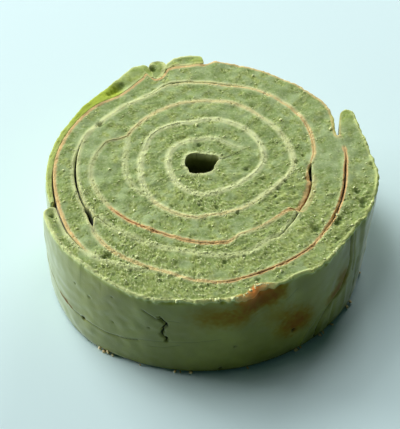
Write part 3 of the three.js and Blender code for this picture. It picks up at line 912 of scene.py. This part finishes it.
    # on the wall, rough carries the skin's painted sheen by angle, halo a pale band under the rim that is partly a
    # painted highlight, and raised the scorch, whose colour is brightened as painted light
    add(high[:, :1] + out[:, :1] * reach, high[:, 1:] + out[:, 1:] * reach, z,
        toast=outer["toast"][:, None] * (1 - 0.4 * free), raised=0.8 * scorch,
        rough=smooth_curve(SKIN_SHEEN)(strip.angle)[:, None],
        halo=(free - scorch) * bell(below_rim, PALE_RIM_REACH) * outer["halo"][:, None],
        glow=np.maximum(thin_light, rim_light), **marks)

    # painted contact shadow along the outer edge of the lower face
    foot_edge_shadow = free * step_between(1.2, 0.8, lower_out)
    add_face(lower_x, lower_y, lower_z, lower_in, lower_out, rim=0.0, rough=0.5,
             dark=np.maximum(lower_pore_shade, foot_edge_shadow))

    # inner side
    share = np.broadcast_to(up, (n, len(up)))
    z = lower_z[:, -1:] + (top_z[:, :1] - lower_z[:, -1:]) * share
    toast = inner["toast"][:, None]
    # painted light near the top of slits and the hole, and painted shade growing deeper down them
    slit_light = 0.75 * bell(HEIGHT - z, SLIT_LIGHT_REACH) * (1 - toast)
    add(low[:, :1] + 0 * z, low[:, 1:] + 0 * z, z, toast=toast, rough=0.5,
        glow=np.maximum(0.6 * glow, slit_light),
        dark=SLIT_SHADE * step_between(*SLIT_SHADE_DEPTHS, HEIGHT - z))

    columns = {key: np.concatenate([part[key] for part in parts], axis=1) for key in parts[0]}
    walls = np.zeros(columns["x"].shape[1], bool)
    walls[across: across + rows + 1] = True
    walls[across + rows + 1 + BOTTOM_ROWS:] = True
    return columns, walls


def wound_slab(name):
    """A sheet that follows the winding, between the radii of its inner and outer lines."""
    sheet = SHEETS[name]
    winding = even_windings(sheet)
    inner = follow(sheet.inner, winding)
    inner["toast"] = inner["toast"] * inner["beyond"]
    outer = follow(sheet.outer, winding)
    low = inner["radius"] + inner["slit"] / 2
    high = outer["radius"] - outer["slit"] / 2
    middle = (low + high) / 2
    thickness = np.maximum(high - low, LEAST_THICKNESS) * rounded_ends(sheet, winding)
    turn = np.radians(winding)
    out = np.stack([np.cos(turn), np.sin(turn)], axis=1)
    place = lambda radius: HOLE + out * radius[:, None]
    free = np.zeros_like(winding)
    if sheet.open_wall:
        start, end = sheet.open_wall
        free = step_between(start, start + 5, winding) * step_between(end, end - 5, winding)
    foot = glow = np.zeros_like(winding)
    is_outer = name == "outer_sheet"
    if is_outer:
        foot = smooth_curve(FOOT)(winding - LAST_TURN) - outer["radius"]
    if name in THIN_GLOW:
        glow = smooth_curve(THIN_GLOW[name])(winding - LAST_TURN)
    angle = winding % 360
    return slab(Strip(
        place(middle - thickness / 2), place(middle + thickness / 2), foot, out, inner, outer,
        free, glow, smooth_curve(RIM_GLOW)(angle), angle, turn_step(winding),
        smooth_curve(RIM_RAGGED)(angle), free * is_outer, is_outer), sheet.across, sheet.rows)


def curl_slab():
    """The skin's rolled end: a lump between the two sides that CURL gives, worked out at even
    steps of its length by the same cubic pieces as the winding."""
    knots = np.array(CURL)
    length = np.r_[0, np.cumsum(np.hypot(*np.diff(knots[:, :2], axis=0).T))]
    even = np.linspace(0, length[-1], CURL_STEPS)
    middle_x, middle_y, half = (smooth_curve(np.stack([length, knots[:, i]], 1))(even)
                                for i in range(3))
    path = np.stack([middle_x, middle_y], 1)
    out = np.stack([np.ones_like(even), np.zeros_like(even)], axis=1)
    none = 0 * even
    finish = {"toast": none, "halo": none + 1, "slit": none, "band": none + 1}
    return slab(Strip(
        path - out * half[:, None], path + out * half[:, None], none, out, finish, finish,
        none, none + CURL_GLOW, none, none + 110, none - CURL_DROP, none, none, False), 24, 24)


def grid_to_mesh(name, grids, materials):
    """A mesh of grids whose rows are sections closed on themselves; each quantity becomes a
    point attribute. Faces whose section step is a wall take the second material."""
    points, loops, sizes, slots, first = [], [], [], [], 0
    for columns, walls in grids:
        rows, around = columns["x"].shape
        index = np.arange(rows * around).reshape(rows, around) + first
        ahead = np.roll(index, -1, axis=1)
        quads = np.stack([index[:-1], index[1:], ahead[1:], ahead[:-1]], axis=-1).reshape(-1, 4)
        loops += [quads.ravel(), index[0], index[-1][::-1]]
        sizes += [np.full(len(quads), 4), [around, around]]
        slots += [np.tile(walls, rows - 1), [True, True]]
        points.append(np.stack([columns[key] for key in "xyz"], axis=-1).reshape(-1, 3) * MM)
        first += rows * around
    points, loops, sizes, slots = map(np.concatenate, (points, loops, sizes, slots))
    mesh = bpy.data.meshes.new(name)
    mesh.vertices.add(len(points))
    mesh.vertices.foreach_set("co", points.ravel().astype(np.float32))
    mesh.loops.add(len(loops))
    mesh.loops.foreach_set("vertex_index", loops.astype(np.int32))
    mesh.polygons.add(len(sizes))
    mesh.polygons.foreach_set("loop_start", np.r_[0, np.cumsum(sizes)[:-1]].astype(np.int32))
    for material in materials:
        mesh.materials.append(material)
    mesh.polygons.foreach_set("material_index", slots.astype(np.int32))
    mesh.polygons.foreach_set("use_smooth", np.ones(len(sizes), bool))
    mesh.update(calc_edges=True)
    mesh.validate()
    for key in ATTRIBUTES:
        values = np.concatenate([columns[key].ravel() for columns, walls in grids])
        mesh.attributes.new(key, "FLOAT", "POINT").data.foreach_set(
            "value", values.astype(np.float32))
    return mesh


# ------------------------------------------------------------------ loose crumbs

LUMP_RINGS = 5
LUMP_SIDES = 8
# spread of how far a crumb's points are pushed in or out, and how far it is squashed
LUMP_PUSH = 0.17
LUMP_SQUASH = (0.6, 1.25)
# places that are tried for one crumb, the share kept where the crumb is rough, and the least
# thickness of sheet, in mm, that carries crumbs
TRIES_FOR_ONE = 3
KEPT_WHERE_ROUGH = 0.55
CRUMBS_FROM = 2.5
# share of the tried places that lies on each sheet
CRUMB_SHARES = {
    "first_sheet": 0.25, "second_sheet": 0.27, "third_sheet": 0.28, "outer_sheet": 0.2,
}
# how far a crumb's middle stands over the cut face, in half widths, and how far a rim crumb's
# lies under it, in mm
CRUMB_RISE = 0.3
RIM_CRUMB_DEPTH = 0.15
# radius of the slice's foot at the back
BACK_FOOT = 37.2
# crumbs by the foot, on the floor: angle, distance past the foot, half width
FOOT_CRUMBS = [
    (235.5, 0.1, 0.4), (237.2, 0.3, 0.45), (238.6, 0.15, 0.5), (240.4, 0.3, 0.35),
    (261.5, 0.2, 0.45), (263.2, 0.1, 0.3), (266.6, 0.2, 0.4), (302.5, 0.2, 0.5),
    (304.3, 0.1, 0.4), (312.6, 0.3, 0.6), (314.2, 0.2, 0.4), (318.8, 0.3, 0.45),
    (328.0, 0.3, 0.4), (330.4, 0.4, 0.5), (285.0, 0.2, 0.3), (250.0, 0.2, 0.25),
    (344.0, 0.3, 0.35), (76, 0.3, 0.45), (140, 0.4, 0.35),
]
# pale crumbs that hang on the rim: angle, distance in from the outline, half width
RIM_CRUMBS = [
    (255.5, 0.5, 0.3), (262.6, 0.3, 0.42), (263.5, 0.5, 0.3), (269.3, 0.4, 0.36),
    (274.4, 0.35, 0.45), (275.4, 0.6, 0.3), (279.6, 0.3, 0.5), (281.0, 0.5, 0.42),
    (282.0, 0.8, 0.3), (284.2, 1.3, 0.28), (285.6, 1.55, 0.3), (287.4, 1.6, 0.26),
    (289.0, 1.35, 0.34), (290.4, 1.05, 0.4), (291.7, 0.8, 0.4), (293.0, 0.7, 0.3),
    (288.2, 1.5, 0.32), (289.7, 1.2, 0.36), (291.1, 0.9, 0.34), (283.0, 0.95, 0.3),
    (342.8, 0.3, 0.4), (341.6, 0.4, 0.32), (309.5, 0.4, 0.3), (317.6, 0.4, 0.5),
    (318.9, 0.5, 0.42), (319.9, 0.6, 0.3), (335, 0.4, 0.25), (237, 0.5, 0.22),
]


def lumps_mesh(name, centres, halves, rng, resting=False):
    """Crumbs: spheres of rings and sides, each squashed and turned at random and with every
    point pushed in or out, all made as one array and joined. Resting crumbs stand on the height
    that their centres give."""
    n = len(centres)
    polar = np.linspace(0, np.pi, LUMP_RINGS + 2)[1:-1]
    round_turn = np.linspace(0, 2 * np.pi, LUMP_SIDES, endpoint=False)
    p, q = np.meshgrid(polar, round_turn, indexing="ij")
    ring = np.stack([np.sin(p) * np.cos(q), np.sin(p) * np.sin(q), np.cos(p)], -1).reshape(-1, 3)
    ball = np.concatenate([[[0, 0, 1]], ring, [[0, 0, -1]]])
    push = 1 + LUMP_PUSH * rng.standard_normal((n, len(ball), 1))
    shape = ball * push * rng.uniform(*LUMP_SQUASH, (n, 1, 3))
    spin, _ = np.linalg.qr(rng.standard_normal((n, 3, 3)))
    spin[:, :, 0] *= np.sign(np.linalg.det(spin))[:, None]
    points = np.einsum("nij,nkj->nki", spin, shape) * halves[:, None, None]
    if resting:
        points[:, :, 2] -= points[:, :, 2].min(axis=1, keepdims=True)
    points += centres[:, None]
    last = len(ball) - 1
    side = np.arange(LUMP_SIDES)
    next_side = (side + 1) % LUMP_SIDES
    fans = [np.stack([0 * side, 1 + side, 1 + next_side], 1)]
    low = 1 + (LUMP_RINGS - 1) * LUMP_SIDES
    fans.append(np.stack([0 * side + last, low + next_side, low + side], 1))
    for row in range(LUMP_RINGS - 1):
        a, b = 1 + row * LUMP_SIDES, 1 + (row + 1) * LUMP_SIDES
        fans.append(np.stack([a + side, b + side, b + next_side], 1))
        fans.append(np.stack([a + side, b + next_side, a + next_side], 1))
    triangles = np.concatenate(fans)
    triangles = (triangles[None] + np.arange(n)[:, None, None] * len(ball)).reshape(-1, 3)
    mesh = bpy.data.meshes.new(name)
    mesh.from_pydata((points.reshape(-1, 3) * MM).tolist(), [], triangles.tolist())
    mesh.polygons.foreach_set("use_smooth", np.ones(len(triangles), bool))
    return mesh


def scattered_places(count, rng):
    """Places on the cut face, in mm, more of them where the crumb is rough: the chance that a
    random winding and share of thickness is kept grows with the roughness squared."""
    places = []
    for name, part in CRUMB_SHARES.items():
        sheet = SHEETS[name]
        tries = int(count * part * TRIES_FOR_ONE)
        winding = rng.uniform(sheet.start + 4, sheet.end - 4, tries)
        share = rng.uniform(0.08, 0.9, tries)
        low = follow(sheet.inner, winding)["radius"]
        high = follow(sheet.outer, winding)["radius"]
        x, y = polar_place(winding, low + (high - low) * share)
        z = HEIGHT + on_face(FACE_HEIGHT, x, y) + turn_step(winding)
        keep = rng.uniform(0, 1, tries) < on_face(FACE_ROUGH, x, y) ** 2 * KEPT_WHERE_ROUGH
        keep &= high - low > CRUMBS_FROM
        places.append(np.stack([x, y, z], 1)[keep])
    return np.concatenate(places)[:count]


# ------------------------------------------------------------------ materials


def shade(red, green, blue):
    """Linear colour of an sRGB colour given in 0 to 255."""
    srgb = np.array([red, green, blue]) / 255
    linear = np.where(srgb <= 0.04045, srgb / 12.92, ((srgb + 0.055) / 1.055) ** 2.4)
    return tuple(float(v) for v in linear)


class Recipe:
    """A material's node tree, with short calls for the nodes that the cake's finishes use."""

    def __init__(self, name):
        self.material = bpy.data.materials.new(name)
        self.material.use_nodes = True
        self.tree = self.material.node_tree
        self.surface = self.tree.nodes["Principled BSDF"]
        self.place = self.tree.nodes.new("ShaderNodeTexCoord").outputs["Object"]

    def put(self, target, value):
        if isinstance(value, bpy.types.NodeSocket):
            self.tree.links.new(value, target)
        else:
            target.default_value = value

    def attribute(self, name):
        node = self.tree.nodes.new("ShaderNodeAttribute")
        node.attribute_name = name
        return node.outputs["Fac"]

    def noise(self, size_mm, detail=2.0, roughness=0.5, stretch=None):
        """Noise with features of about size_mm, from 0 to 1, with its axes scaled by stretch."""
        node = self.tree.nodes.new("ShaderNodeTexNoise")
        node.inputs["Scale"].default_value = 1 / (size_mm * MM)
        node.inputs["Detail"].default_value = detail
        node.inputs["Roughness"].default_value = roughness
        place = self.place
        if stretch:
            mapping = self.tree.nodes.new("ShaderNodeMapping")
            mapping.inputs["Scale"].default_value = stretch
            self.tree.links.new(place, mapping.inputs["Vector"])
            place = mapping.outputs["Vector"]
        self.tree.links.new(place, node.inputs["Vector"])
        return node.outputs["Fac"]

    def math(self, operation, first, second=0.0, third=0.0):
        node = self.tree.nodes.new("ShaderNodeMath")
        node.operation = operation
        for target, value in zip(node.inputs, (first, second, third)):
            self.put(target, value)
        return node.outputs[0]

    def times(self, first, second):
        return self.math("MULTIPLY", first, second)

    def between(self, value, low, high):
        """Smooth step of value, 0 at low and 1 at high."""
        node = self.tree.nodes.new("ShaderNodeMapRange")
        node.interpolation_type = "SMOOTHSTEP"
        for target, given in zip(node.inputs, (value, low, high, 0.0, 1.0)):
            self.put(target, given)
        return node.outputs[0]

    def mix(self, share, first, second):
        node = self.tree.nodes.new("ShaderNodeMix")
        node.data_type = "RGBA"
        self.put(node.inputs[0], share)
        for target, value in ((node.inputs[6], first), (node.inputs[7], second)):
            self.put(target, value if isinstance(value, bpy.types.NodeSocket) else (*value, 1))
        return node.outputs[2]

    def lay(self, colour, over, *shares):
        """A colour with another laid over it, by the product of the shares."""
        share = shares[0]
        for more in shares[1:]:
            share = self.times(share, more)
        return self.mix(share, colour, over)

    def bump(self, height, distance_mm, strength):
        node = self.tree.nodes.new("ShaderNodeBump")
        node.inputs["Strength"].default_value = strength
        node.inputs["Distance"].default_value = distance_mm * MM
        self.put(node.inputs["Height"], height)
        self.put(self.surface.inputs["Normal"], node.outputs["Normal"])

    def finish(self, colour, roughness, specular, soft):
        """Sets the surface and gives the material; soft is the share of light that spreads
        under the surface."""
        sockets = self.surface.inputs
        self.put(sockets["Base Color"], colour)
        sockets["Roughness"].default_value = roughness
        sockets["Specular IOR Level"].default_value = specular
        sockets["Subsurface Weight"].default_value = soft
        sockets["Subsurface Radius"].default_value = (1.0, 0.9, 0.35)
        sockets["Subsurface Scale"].default_value = 0.9 * MM
        return self.material


def crumb_material(name, colours):
    """Cut crumb. Smooth crumb is grey green and rough crumb yellow green, mottled in two sizes,
    dark in pores and light on raised crumbs. Beside a seam it is pale, and a toasted seam is a
    tan band with a dark red brown core. Thin places glow yellow green."""
    recipe = Recipe(name)
    given, between, noise = recipe.attribute, recipe.between, recipe.noise
    colour = recipe.mix(between(given("rough"), 0.15, 0.8), colours.crumb_smooth,
                        colours.crumb_rough)
    mottle = between(noise(3.2, 4, 0.62), 0.36, 0.64)
    colour = recipe.lay(colour, colours.crumb_deep, mottle, 0.75)
    patch = between(noise(1.2, 3, 0.6), 0.5, 0.68)
    colour = recipe.lay(colour, colours.crumb_smooth, patch, 0.45)
    speck = noise(0.6, 3, 0.7)
    # light specks at random, and dark specks in the painted shade colour of pores
    colour = recipe.lay(colour, colours.crumb_pale, between(speck, 0.52, 0.74), 0.36)
    colour = recipe.lay(colour, colours.pore, between(speck, 0.46, 0.28), 0.26)
    broken = between(noise(0.8, 3, 0.7), 0.15, 0.42)
    # pale crumb beside a seam; on the free rim partly a painted highlight
    colour = recipe.lay(colour, colours.seam_pale, given("halo"), broken, 0.85)
    # painted highlight on raised crumbs, and painted shade in pores and torn pits
    colour = recipe.lay(colour, colours.crumb_pale, given("raised"), 0.7)
    colour = recipe.lay(colour, colours.pore, given("dark"), 0.75)
    edge = given("edge")
    toast = given("toast")
    wander = recipe.math("MULTIPLY_ADD", noise(1.1, 3, 0.6), 0.6, -0.3)
    flank = between(recipe.math("ADD", edge, wander), 0.62, 0.3)
    tone = recipe.math("MULTIPLY_ADD", noise(1.3, 2), 0.8, recipe.math("ADD", toast, -0.4))
    flank_colour = recipe.mix(between(tone, 0.0, 0.7), colours.toast_light, colours.toast_middle)
    colour = recipe.lay(colour, flank_colour, flank, between(toast, 0.03, 0.42),
                        between(noise(0.9, 2), 0.2, 0.4), 0.9)
    core = between(recipe.math("MULTIPLY_ADD", wander, 0.3, edge), 0.24, 0.08)
    colour = recipe.lay(colour, colours.toast_deep, core, between(toast, 0.45, 0.95),
                        between(noise(2.2, 2), 0.34, 0.5))
    # the rim's scorch, whose colour is brightened as painted light
    colour = recipe.lay(colour, colours.scorch, given("brown"))
    colour = recipe.lay(colour, colours.glow, given("glow"))
    recipe.bump(recipe.math("ADD", noise(0.4, 3, 0.7), noise(1.0, 2)), 0.09, 0.3)
    return recipe.finish(colour, 0.85, 0.25, 0.12)


def skin_material(name, colours):
    """Baked skin: smooth grey green with soft streaks, dry and pale in places, browned by the
    pan in patches and scorched where raised, brown where it faces a toasted seam, dark in
    cracks, pale on the rim and glowing where thin. Marks are duller than the skin."""
    recipe = Recipe(name)
    given, between, noise = recipe.attribute, recipe.between, recipe.noise
    streak = between(noise(9.0, 3, 0.5, stretch=(1, 1, 0.5)), 0.3, 0.7)
    colour = recipe.mix(streak, colours.skin_deep, colours.skin_light)
    cloud = between(noise(2.2, 3, 0.6), 0.3, 0.7)
    colour = recipe.lay(colour, colours.skin_deep, cloud, 0.3)
    # painted sheen: the pale skin laid on by the rough attribute, which on the wall carries the sheen by angle
    colour = recipe.lay(colour, colours.skin_sheen, given("rough"))
    colour = recipe.lay(colour, colours.toast_middle, between(given("toast"), 0.1, 0.6), 0.85)
    colour = recipe.lay(colour, colours.glow, given("glow"))
    # pale band on the rim, partly a painted highlight
    colour = recipe.lay(colour, colours.seam_pale, given("halo"), 0.8)
    brown = recipe.math("MULTIPLY_ADD", noise(2.0, 3, 0.55), 0.16,
                        recipe.math("ADD", given("brown"), -0.08))
    browned = recipe.mix(between(brown, 0.3, 0.95), colours.skin_tan, colours.skin_brown)
    # the scorch, brightened as painted light, laid on by the raised attribute
    browned = recipe.lay(browned, colours.scorch, given("raised"))
    colour = recipe.lay(colour, browned, between(brown, 0.0, 0.9))
    # painted shade along cracks and creases, and in dents, slits and at the foot
    line = between(recipe.math("ABSOLUTE", given("gap")), 1.1, 0.6)
    line = recipe.times(line, given("line"))
    dark = recipe.math("MAXIMUM", line, recipe.times(given("dark"), 0.8))
    colour = recipe.lay(colour, colours.crack_shade, dark)
    recipe.bump(recipe.math("ADD", noise(0.5, 3, 0.6), recipe.times(noise(3.0, 2), 1.5)), 0.06, 0.3)
    recipe.finish(colour, 0.28, 0.5, 0.08)
    sockets = recipe.surface.inputs
    marked = recipe.math("MAXIMUM", dark, between(brown, 0.06, 0.6))
    recipe.put(sockets["Specular IOR Level"], recipe.math("MULTIPLY_ADD", marked, -0.3, 0.35))
    recipe.put(sockets["Sheen Weight"], recipe.math("MULTIPLY_ADD", marked, -0.3, 0.3))
    sockets["Sheen Roughness"].default_value = 0.35
    sockets["Sheen Tint"].default_value = (0.9, 1.0, 1.0, 1)
    return recipe.material


def loose_material(name, light, deep):
    """Loose crumbs: two tones, by place, and a soft rough surface."""
    recipe = Recipe(name)
    colour = recipe.mix(recipe.between(recipe.noise(1.3, 3, 0.6), 0.35, 0.65), light, deep)
    recipe.bump(recipe.noise(0.25, 3, 0.7), 0.08, 0.5)
    return recipe.finish(colour, 0.85, 0.25, 0.1)


# ------------------------------------------------------------------ add-on


def colour_property(label, description, srgb):
    return bpy.props.FloatVectorProperty(
        name=label, description=description, subtype="COLOR", size=3, min=0.0, max=1.0,
        default=shade(*srgb),
    )


class CakeColours(bpy.types.PropertyGroup):
    """Colours of the crumb, the seams and the baked skin."""

    crumb_smooth: colour_property("Smooth crumb", "Crumb dragged smooth", (152, 174, 120))
    crumb_rough: colour_property("Rough crumb", "Torn crumb", (148, 166, 90))
    crumb_deep: colour_property("Deep crumb", "Deeper mottling", (121, 145, 76))
    # painted highlight on raised crumbs; also the light specks and the light tone of loose crumbs
    crumb_pale: colour_property("Raised crumb", "Crumbs that stand proud", (218, 230, 174))
    # painted shade in pores and torn pits, and the dark specks
    pore: colour_property("Pore", "Pores and torn pits", (62, 90, 30))
    # pale crumb beside a seam, and partly a painted highlight on the free rim; also the deep tone of loose crumbs
    seam_pale: colour_property("Pale seam", "Crumb beside a seam", (212, 224, 164))
    toast_light: colour_property("Light toast", "Lightly browned seam", (222, 200, 138))
    toast_middle: colour_property("Toast", "Browned seam", (213, 180, 120))
    toast_deep: colour_property("Deep toast", "Well browned seam", (138, 84, 32))
    skin_light: colour_property("Light skin", "Lighter streaks", (130, 138, 52))
    skin_deep: colour_property("Deep skin", "Deeper streaks", (106, 112, 32))
    # painted sheen, laid on the skin by angle, palest on the lit left and back
    skin_sheen: colour_property("Pale skin", "Dry, pale baked skin", (152, 165, 112))
    skin_tan: colour_property("Tanned skin", "Edges of browned patches", (124, 100, 8))
    skin_brown: colour_property("Browned skin", "Patches browned by the pan", (112, 66, 2))
    # orange scorch of the rim, brightened beyond its own colour as painted light
    scorch: colour_property("Scorch", "Rim scorched orange", (240, 158, 80))
    # painted shade: cracks, creases, dents, slits and the contact shadow at the foot
    crack_shade: colour_property("Crack", "Inside of cracks", (26, 34, 10))
    glow: colour_property("Lit skin", "Skin that light comes through", (154, 176, 40))
    foot_crumb: colour_property("Foot crumb", "Crumbs of browned skin", (214, 204, 164))


class CakeSizes(bpy.types.PropertyGroup):
    """Sizes of what is scattered and of the stage."""

    crumbs: bpy.props.IntProperty(
        name="Crumbs", description="Most loose crumbs that are scattered on the upper face, where "
        "rough crumb keeps more of them than smooth crumb", default=1000, min=0)
    crumb_half: bpy.props.FloatProperty(
        name="Crumb half width", description="Mean half width of a loose crumb",
        default=0.15 * MM, unit="LENGTH", precision=5)
    floor_side: bpy.props.FloatProperty(
        name="Floor", description="Side of the floor", default=3.0, unit="LENGTH")


def linked(name, data):
    """A new object that holds the data, in the scene."""
    made = bpy.data.objects.new(name, data)
    bpy.context.scene.collection.objects.link(made)
    return made


def finished(name, mesh, slot, replaced=()):
    """Links a mesh as a piece that rides on the slice and stands for the replaced nodes."""
    piece = linked(name, mesh)
    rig.ride(piece, "root")
    if replaced:
        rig.replaces(piece, *replaced)
    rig.slot(piece, slot)


def shared(name, maker, *args):
    """The material of that name, made the first time that it is asked for."""
    return bpy.data.materials.get(name) or maker(name, *args)


class SheetOperator:
    """What the operators of the wound sheets share. Extra holds functions that make grids of
    the same piece."""

    bl_options = {"REGISTER", "UNDO"}

    def execute(self, context):
        colours = context.scene.cake_colours
        materials = (
            shared("green crumb", crumb_material, colours),
            shared("baked skin", skin_material, colours),
        )
        grids = [wound_slab(self.sheet)] + [make() for make in self.extra]
        mesh = grid_to_mesh(self.sheet + "_cake", grids, materials)
        finished(self.sheet + "_cake", mesh, self.slot, [self.sheet])
        return {"FINISHED"}


def sheet_operator(sheet, slot, label, purpose, *extra):
    """The operator that makes one wound sheet."""
    return type("CAKE_OT_" + sheet, (SheetOperator, bpy.types.Operator), {
        "__doc__": purpose, "bl_idname": "cake." + sheet, "bl_label": label,
        "sheet": sheet, "slot": slot, "extra": extra,
    })


SHEET_OPERATORS = [
    sheet_operator("first_sheet", "crumb", "First sheet",
                   "Make the first sheet, wound on the rod"),
    sheet_operator("second_sheet", "crumb", "Second sheet",
                   "Make the second sheet, over the end of the first"),
    sheet_operator("third_sheet", "crumb", "Third sheet",
                   "Make the third sheet, over the end of the second"),
    sheet_operator("outer_sheet", "outer_crumb", "Outer sheet",
                   "Make the outer sheet with its lip, wall and free flap"),
    sheet_operator("thin_skin", "skin", "Thin skin",
                   "Make the thin skin at the back left, with its rolled end", curl_slab),
    sheet_operator("back_scrap", "skin", "Back scrap",
                   "Make the scrap of skin on the back"),
]


def last_turn(angle):
    """Angles from 0 to 360 as angles of the tables of the last turn, which start at 202."""
    return np.where(angle < OUTLINE[0][0], angle + 360, angle)


class CAKE_OT_loose_crumbs(bpy.types.Operator):
    """Scatter crumbs on the cut face, the rim and round the foot"""

    bl_idname = "cake.loose_crumbs"
    bl_label = "Loose crumbs"
    bl_options = {"REGISTER", "UNDO"}

    def execute(self, context):
        colours = context.scene.cake_colours
        sizes = context.scene.cake_sizes
        rng = np.random.default_rng(SEED + 2)
        places = scattered_places(sizes.crumbs, rng)
        mean = sizes.crumb_half / MM
        halves = mean * np.exp(0.35 * rng.standard_normal(len(places)))
        places[:, 2] += CRUMB_RISE * halves
        angle, inward, rim_halves = np.array(RIM_CRUMBS).T
        x, y = polar_place(angle, smooth_curve(OUTLINE)(last_turn(angle)) - inward)
        rim = np.stack([x, y, HEIGHT - RIM_CRUMB_DEPTH + 0 * x], 1)
        mesh = lumps_mesh("face_crumbs", np.concatenate([places, rim]),
                          np.concatenate([halves, rim_halves]), rng)
        mesh.materials.append(
            loose_material("pale crumb", colours.crumb_pale, colours.seam_pale))
        finished("face_crumbs", mesh, "crumb")

        angle, past, foot_halves = np.array(FOOT_CRUMBS).T
        free_foot = smooth_curve(FOOT)(last_turn(angle))
        at_back = (angle > FOOT[-1][0] - 360) & (angle < FOOT[0][0])
        x, y = polar_place(angle, np.where(at_back, BACK_FOOT, free_foot) + past)
        mesh = lumps_mesh("foot_crumbs", np.stack([x, y, 0 * x], 1), foot_halves, rng,
                          resting=True)
        mesh.materials.append(
            loose_material("browned crumb", colours.foot_crumb, colours.toast_light))
        finished("foot_crumbs", mesh, "crumb")
        return {"FINISHED"}


# soft lamps: azimuth and elevation of where each stands, and its power in watts
LAMP_DISTANCE = 1.5
LAMP_SIDE = 0.73
LAMPS = [(160, 10, 26.5), (132, 45, 11.3), (148, 70, 8.2), (72, 12, 18.6)]
LAMP_TINT = (1.0, 0.96, 0.97)
ROOM_LIGHT = 0.035
ROOM_TINT = (0.6, 1.0, 0.94, 1)
FLOOR_SRGB = (210, 238, 239)

SENSOR_WIDTH = 36
IMAGE_HEIGHT_PX = 429
CAMERA_FOCUS_PX = 1330
CAMERA_ELEVATION = 46.0
CAMERA_DISTANCE = 320.0
CAMERA_TARGET = (-1.71, -2.02, HEIGHT)
CAMERA_AIM_PX = (-4.04, 41.94)


class CAKE_OT_stage(bpy.types.Operator):
    """Make the pale floor, the soft lamps and the camera"""

    bl_idname = "cake.stage"
    bl_label = "Stage"
    bl_options = {"REGISTER", "UNDO"}

    def execute(self, context):
        scene = context.scene
        half = scene.cake_sizes.floor_side / 2
        floor_mesh = bpy.data.meshes.new("floor")
        corners = [(-half, -half, 0), (half, -half, 0), (half, half, 0), (-half, half, 0)]
        floor_mesh.from_pydata(corners, [], [(0, 1, 2, 3)])
        recipe = Recipe("pale floor")
        floor_mesh.materials.append(recipe.finish((*shade(*FLOOR_SRGB), 1), 0.9, 0.2, 0.0))
        floor = linked("floor", floor_mesh)
        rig.stage(floor)

        world = bpy.data.worlds.new("room")
        world.use_nodes = True
        background = world.node_tree.nodes["Background"].inputs
        background["Color"].default_value = ROOM_TINT
        background["Strength"].default_value = ROOM_LIGHT
        scene.world = world
        for azimuth, elevation, power in LAMPS:
            light = bpy.data.lights.new("soft_lamp", "AREA")
            light.size = LAMP_SIDE
            light.energy = power
            light.color = LAMP_TINT
            lamp = linked("soft_lamp", light)
            turn, rise = math.radians(azimuth), math.radians(elevation)
            lamp.location = LAMP_DISTANCE * Vector((
                math.cos(rise) * math.cos(turn), math.cos(rise) * math.sin(turn),
                math.sin(rise)))
            lamp.rotation_euler = (-lamp.location).to_track_quat("-Z", "Y").to_euler()

        camera_data = bpy.data.cameras.new("camera")
        camera_data.sensor_width = SENSOR_WIDTH
        camera_data.lens = SENSOR_WIDTH * CAMERA_FOCUS_PX / IMAGE_HEIGHT_PX
        camera_data.clip_start = 0.01
        camera = linked("camera", camera_data)
        elevation = math.radians(CAMERA_ELEVATION)
        ahead = Vector((0, math.cos(elevation), -math.sin(elevation)))
        right = Vector((1, 0, 0))
        above = right.cross(ahead)
        aim = ahead + right * (CAMERA_AIM_PX[0] / CAMERA_FOCUS_PX)
        aim -= above * (CAMERA_AIM_PX[1] / CAMERA_FOCUS_PX)
        camera.location = (Vector(CAMERA_TARGET) - ahead * CAMERA_DISTANCE) * MM
        camera.rotation_euler = aim.to_track_quat("-Z", "Y").to_euler()
        scene.camera = camera
        scene.view_settings.view_transform = "Standard"
        return {"FINISHED"}


class CAKE_PT_panel(bpy.types.Panel):
    """Lists the pieces of the slice and its colours"""

    bl_idname = "CAKE_PT_panel"
    bl_label = "Baumkuchen"
    bl_space_type = "VIEW_3D"
    bl_region_type = "UI"
    bl_category = "Baumkuchen"

    def draw(self, context):
        for operator in OPERATORS:
            self.layout.operator(operator.bl_idname)
        for group in (context.scene.cake_sizes, context.scene.cake_colours):
            for key in group.__annotations__:
                self.layout.prop(group, key)


OPERATORS = (*SHEET_OPERATORS, CAKE_OT_loose_crumbs, CAKE_OT_stage)
CLASSES = (CakeColours, CakeSizes, *OPERATORS, CAKE_PT_panel)


def register():
    for cls in CLASSES:
        bpy.utils.register_class(cls)
    bpy.types.Scene.cake_colours = bpy.props.PointerProperty(type=CakeColours)
    bpy.types.Scene.cake_sizes = bpy.props.PointerProperty(type=CakeSizes)


def unregister():
    del bpy.types.Scene.cake_sizes
    del bpy.types.Scene.cake_colours
    for cls in reversed(CLASSES):
        bpy.utils.unregister_class(cls)


def main():
    """Makes every piece and the stage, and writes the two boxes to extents.json."""
    register()
    for operator in OPERATORS:
        group, action = operator.bl_idname.split(".")
        getattr(getattr(bpy.ops, group), action)()
    visual_box = [list(corner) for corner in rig.bounds()]
    with open("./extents.json", "w") as file:
        json.dump({"cad": CAD_BOX, "visual": visual_box}, file)


if __name__ == "__main__":
    main()
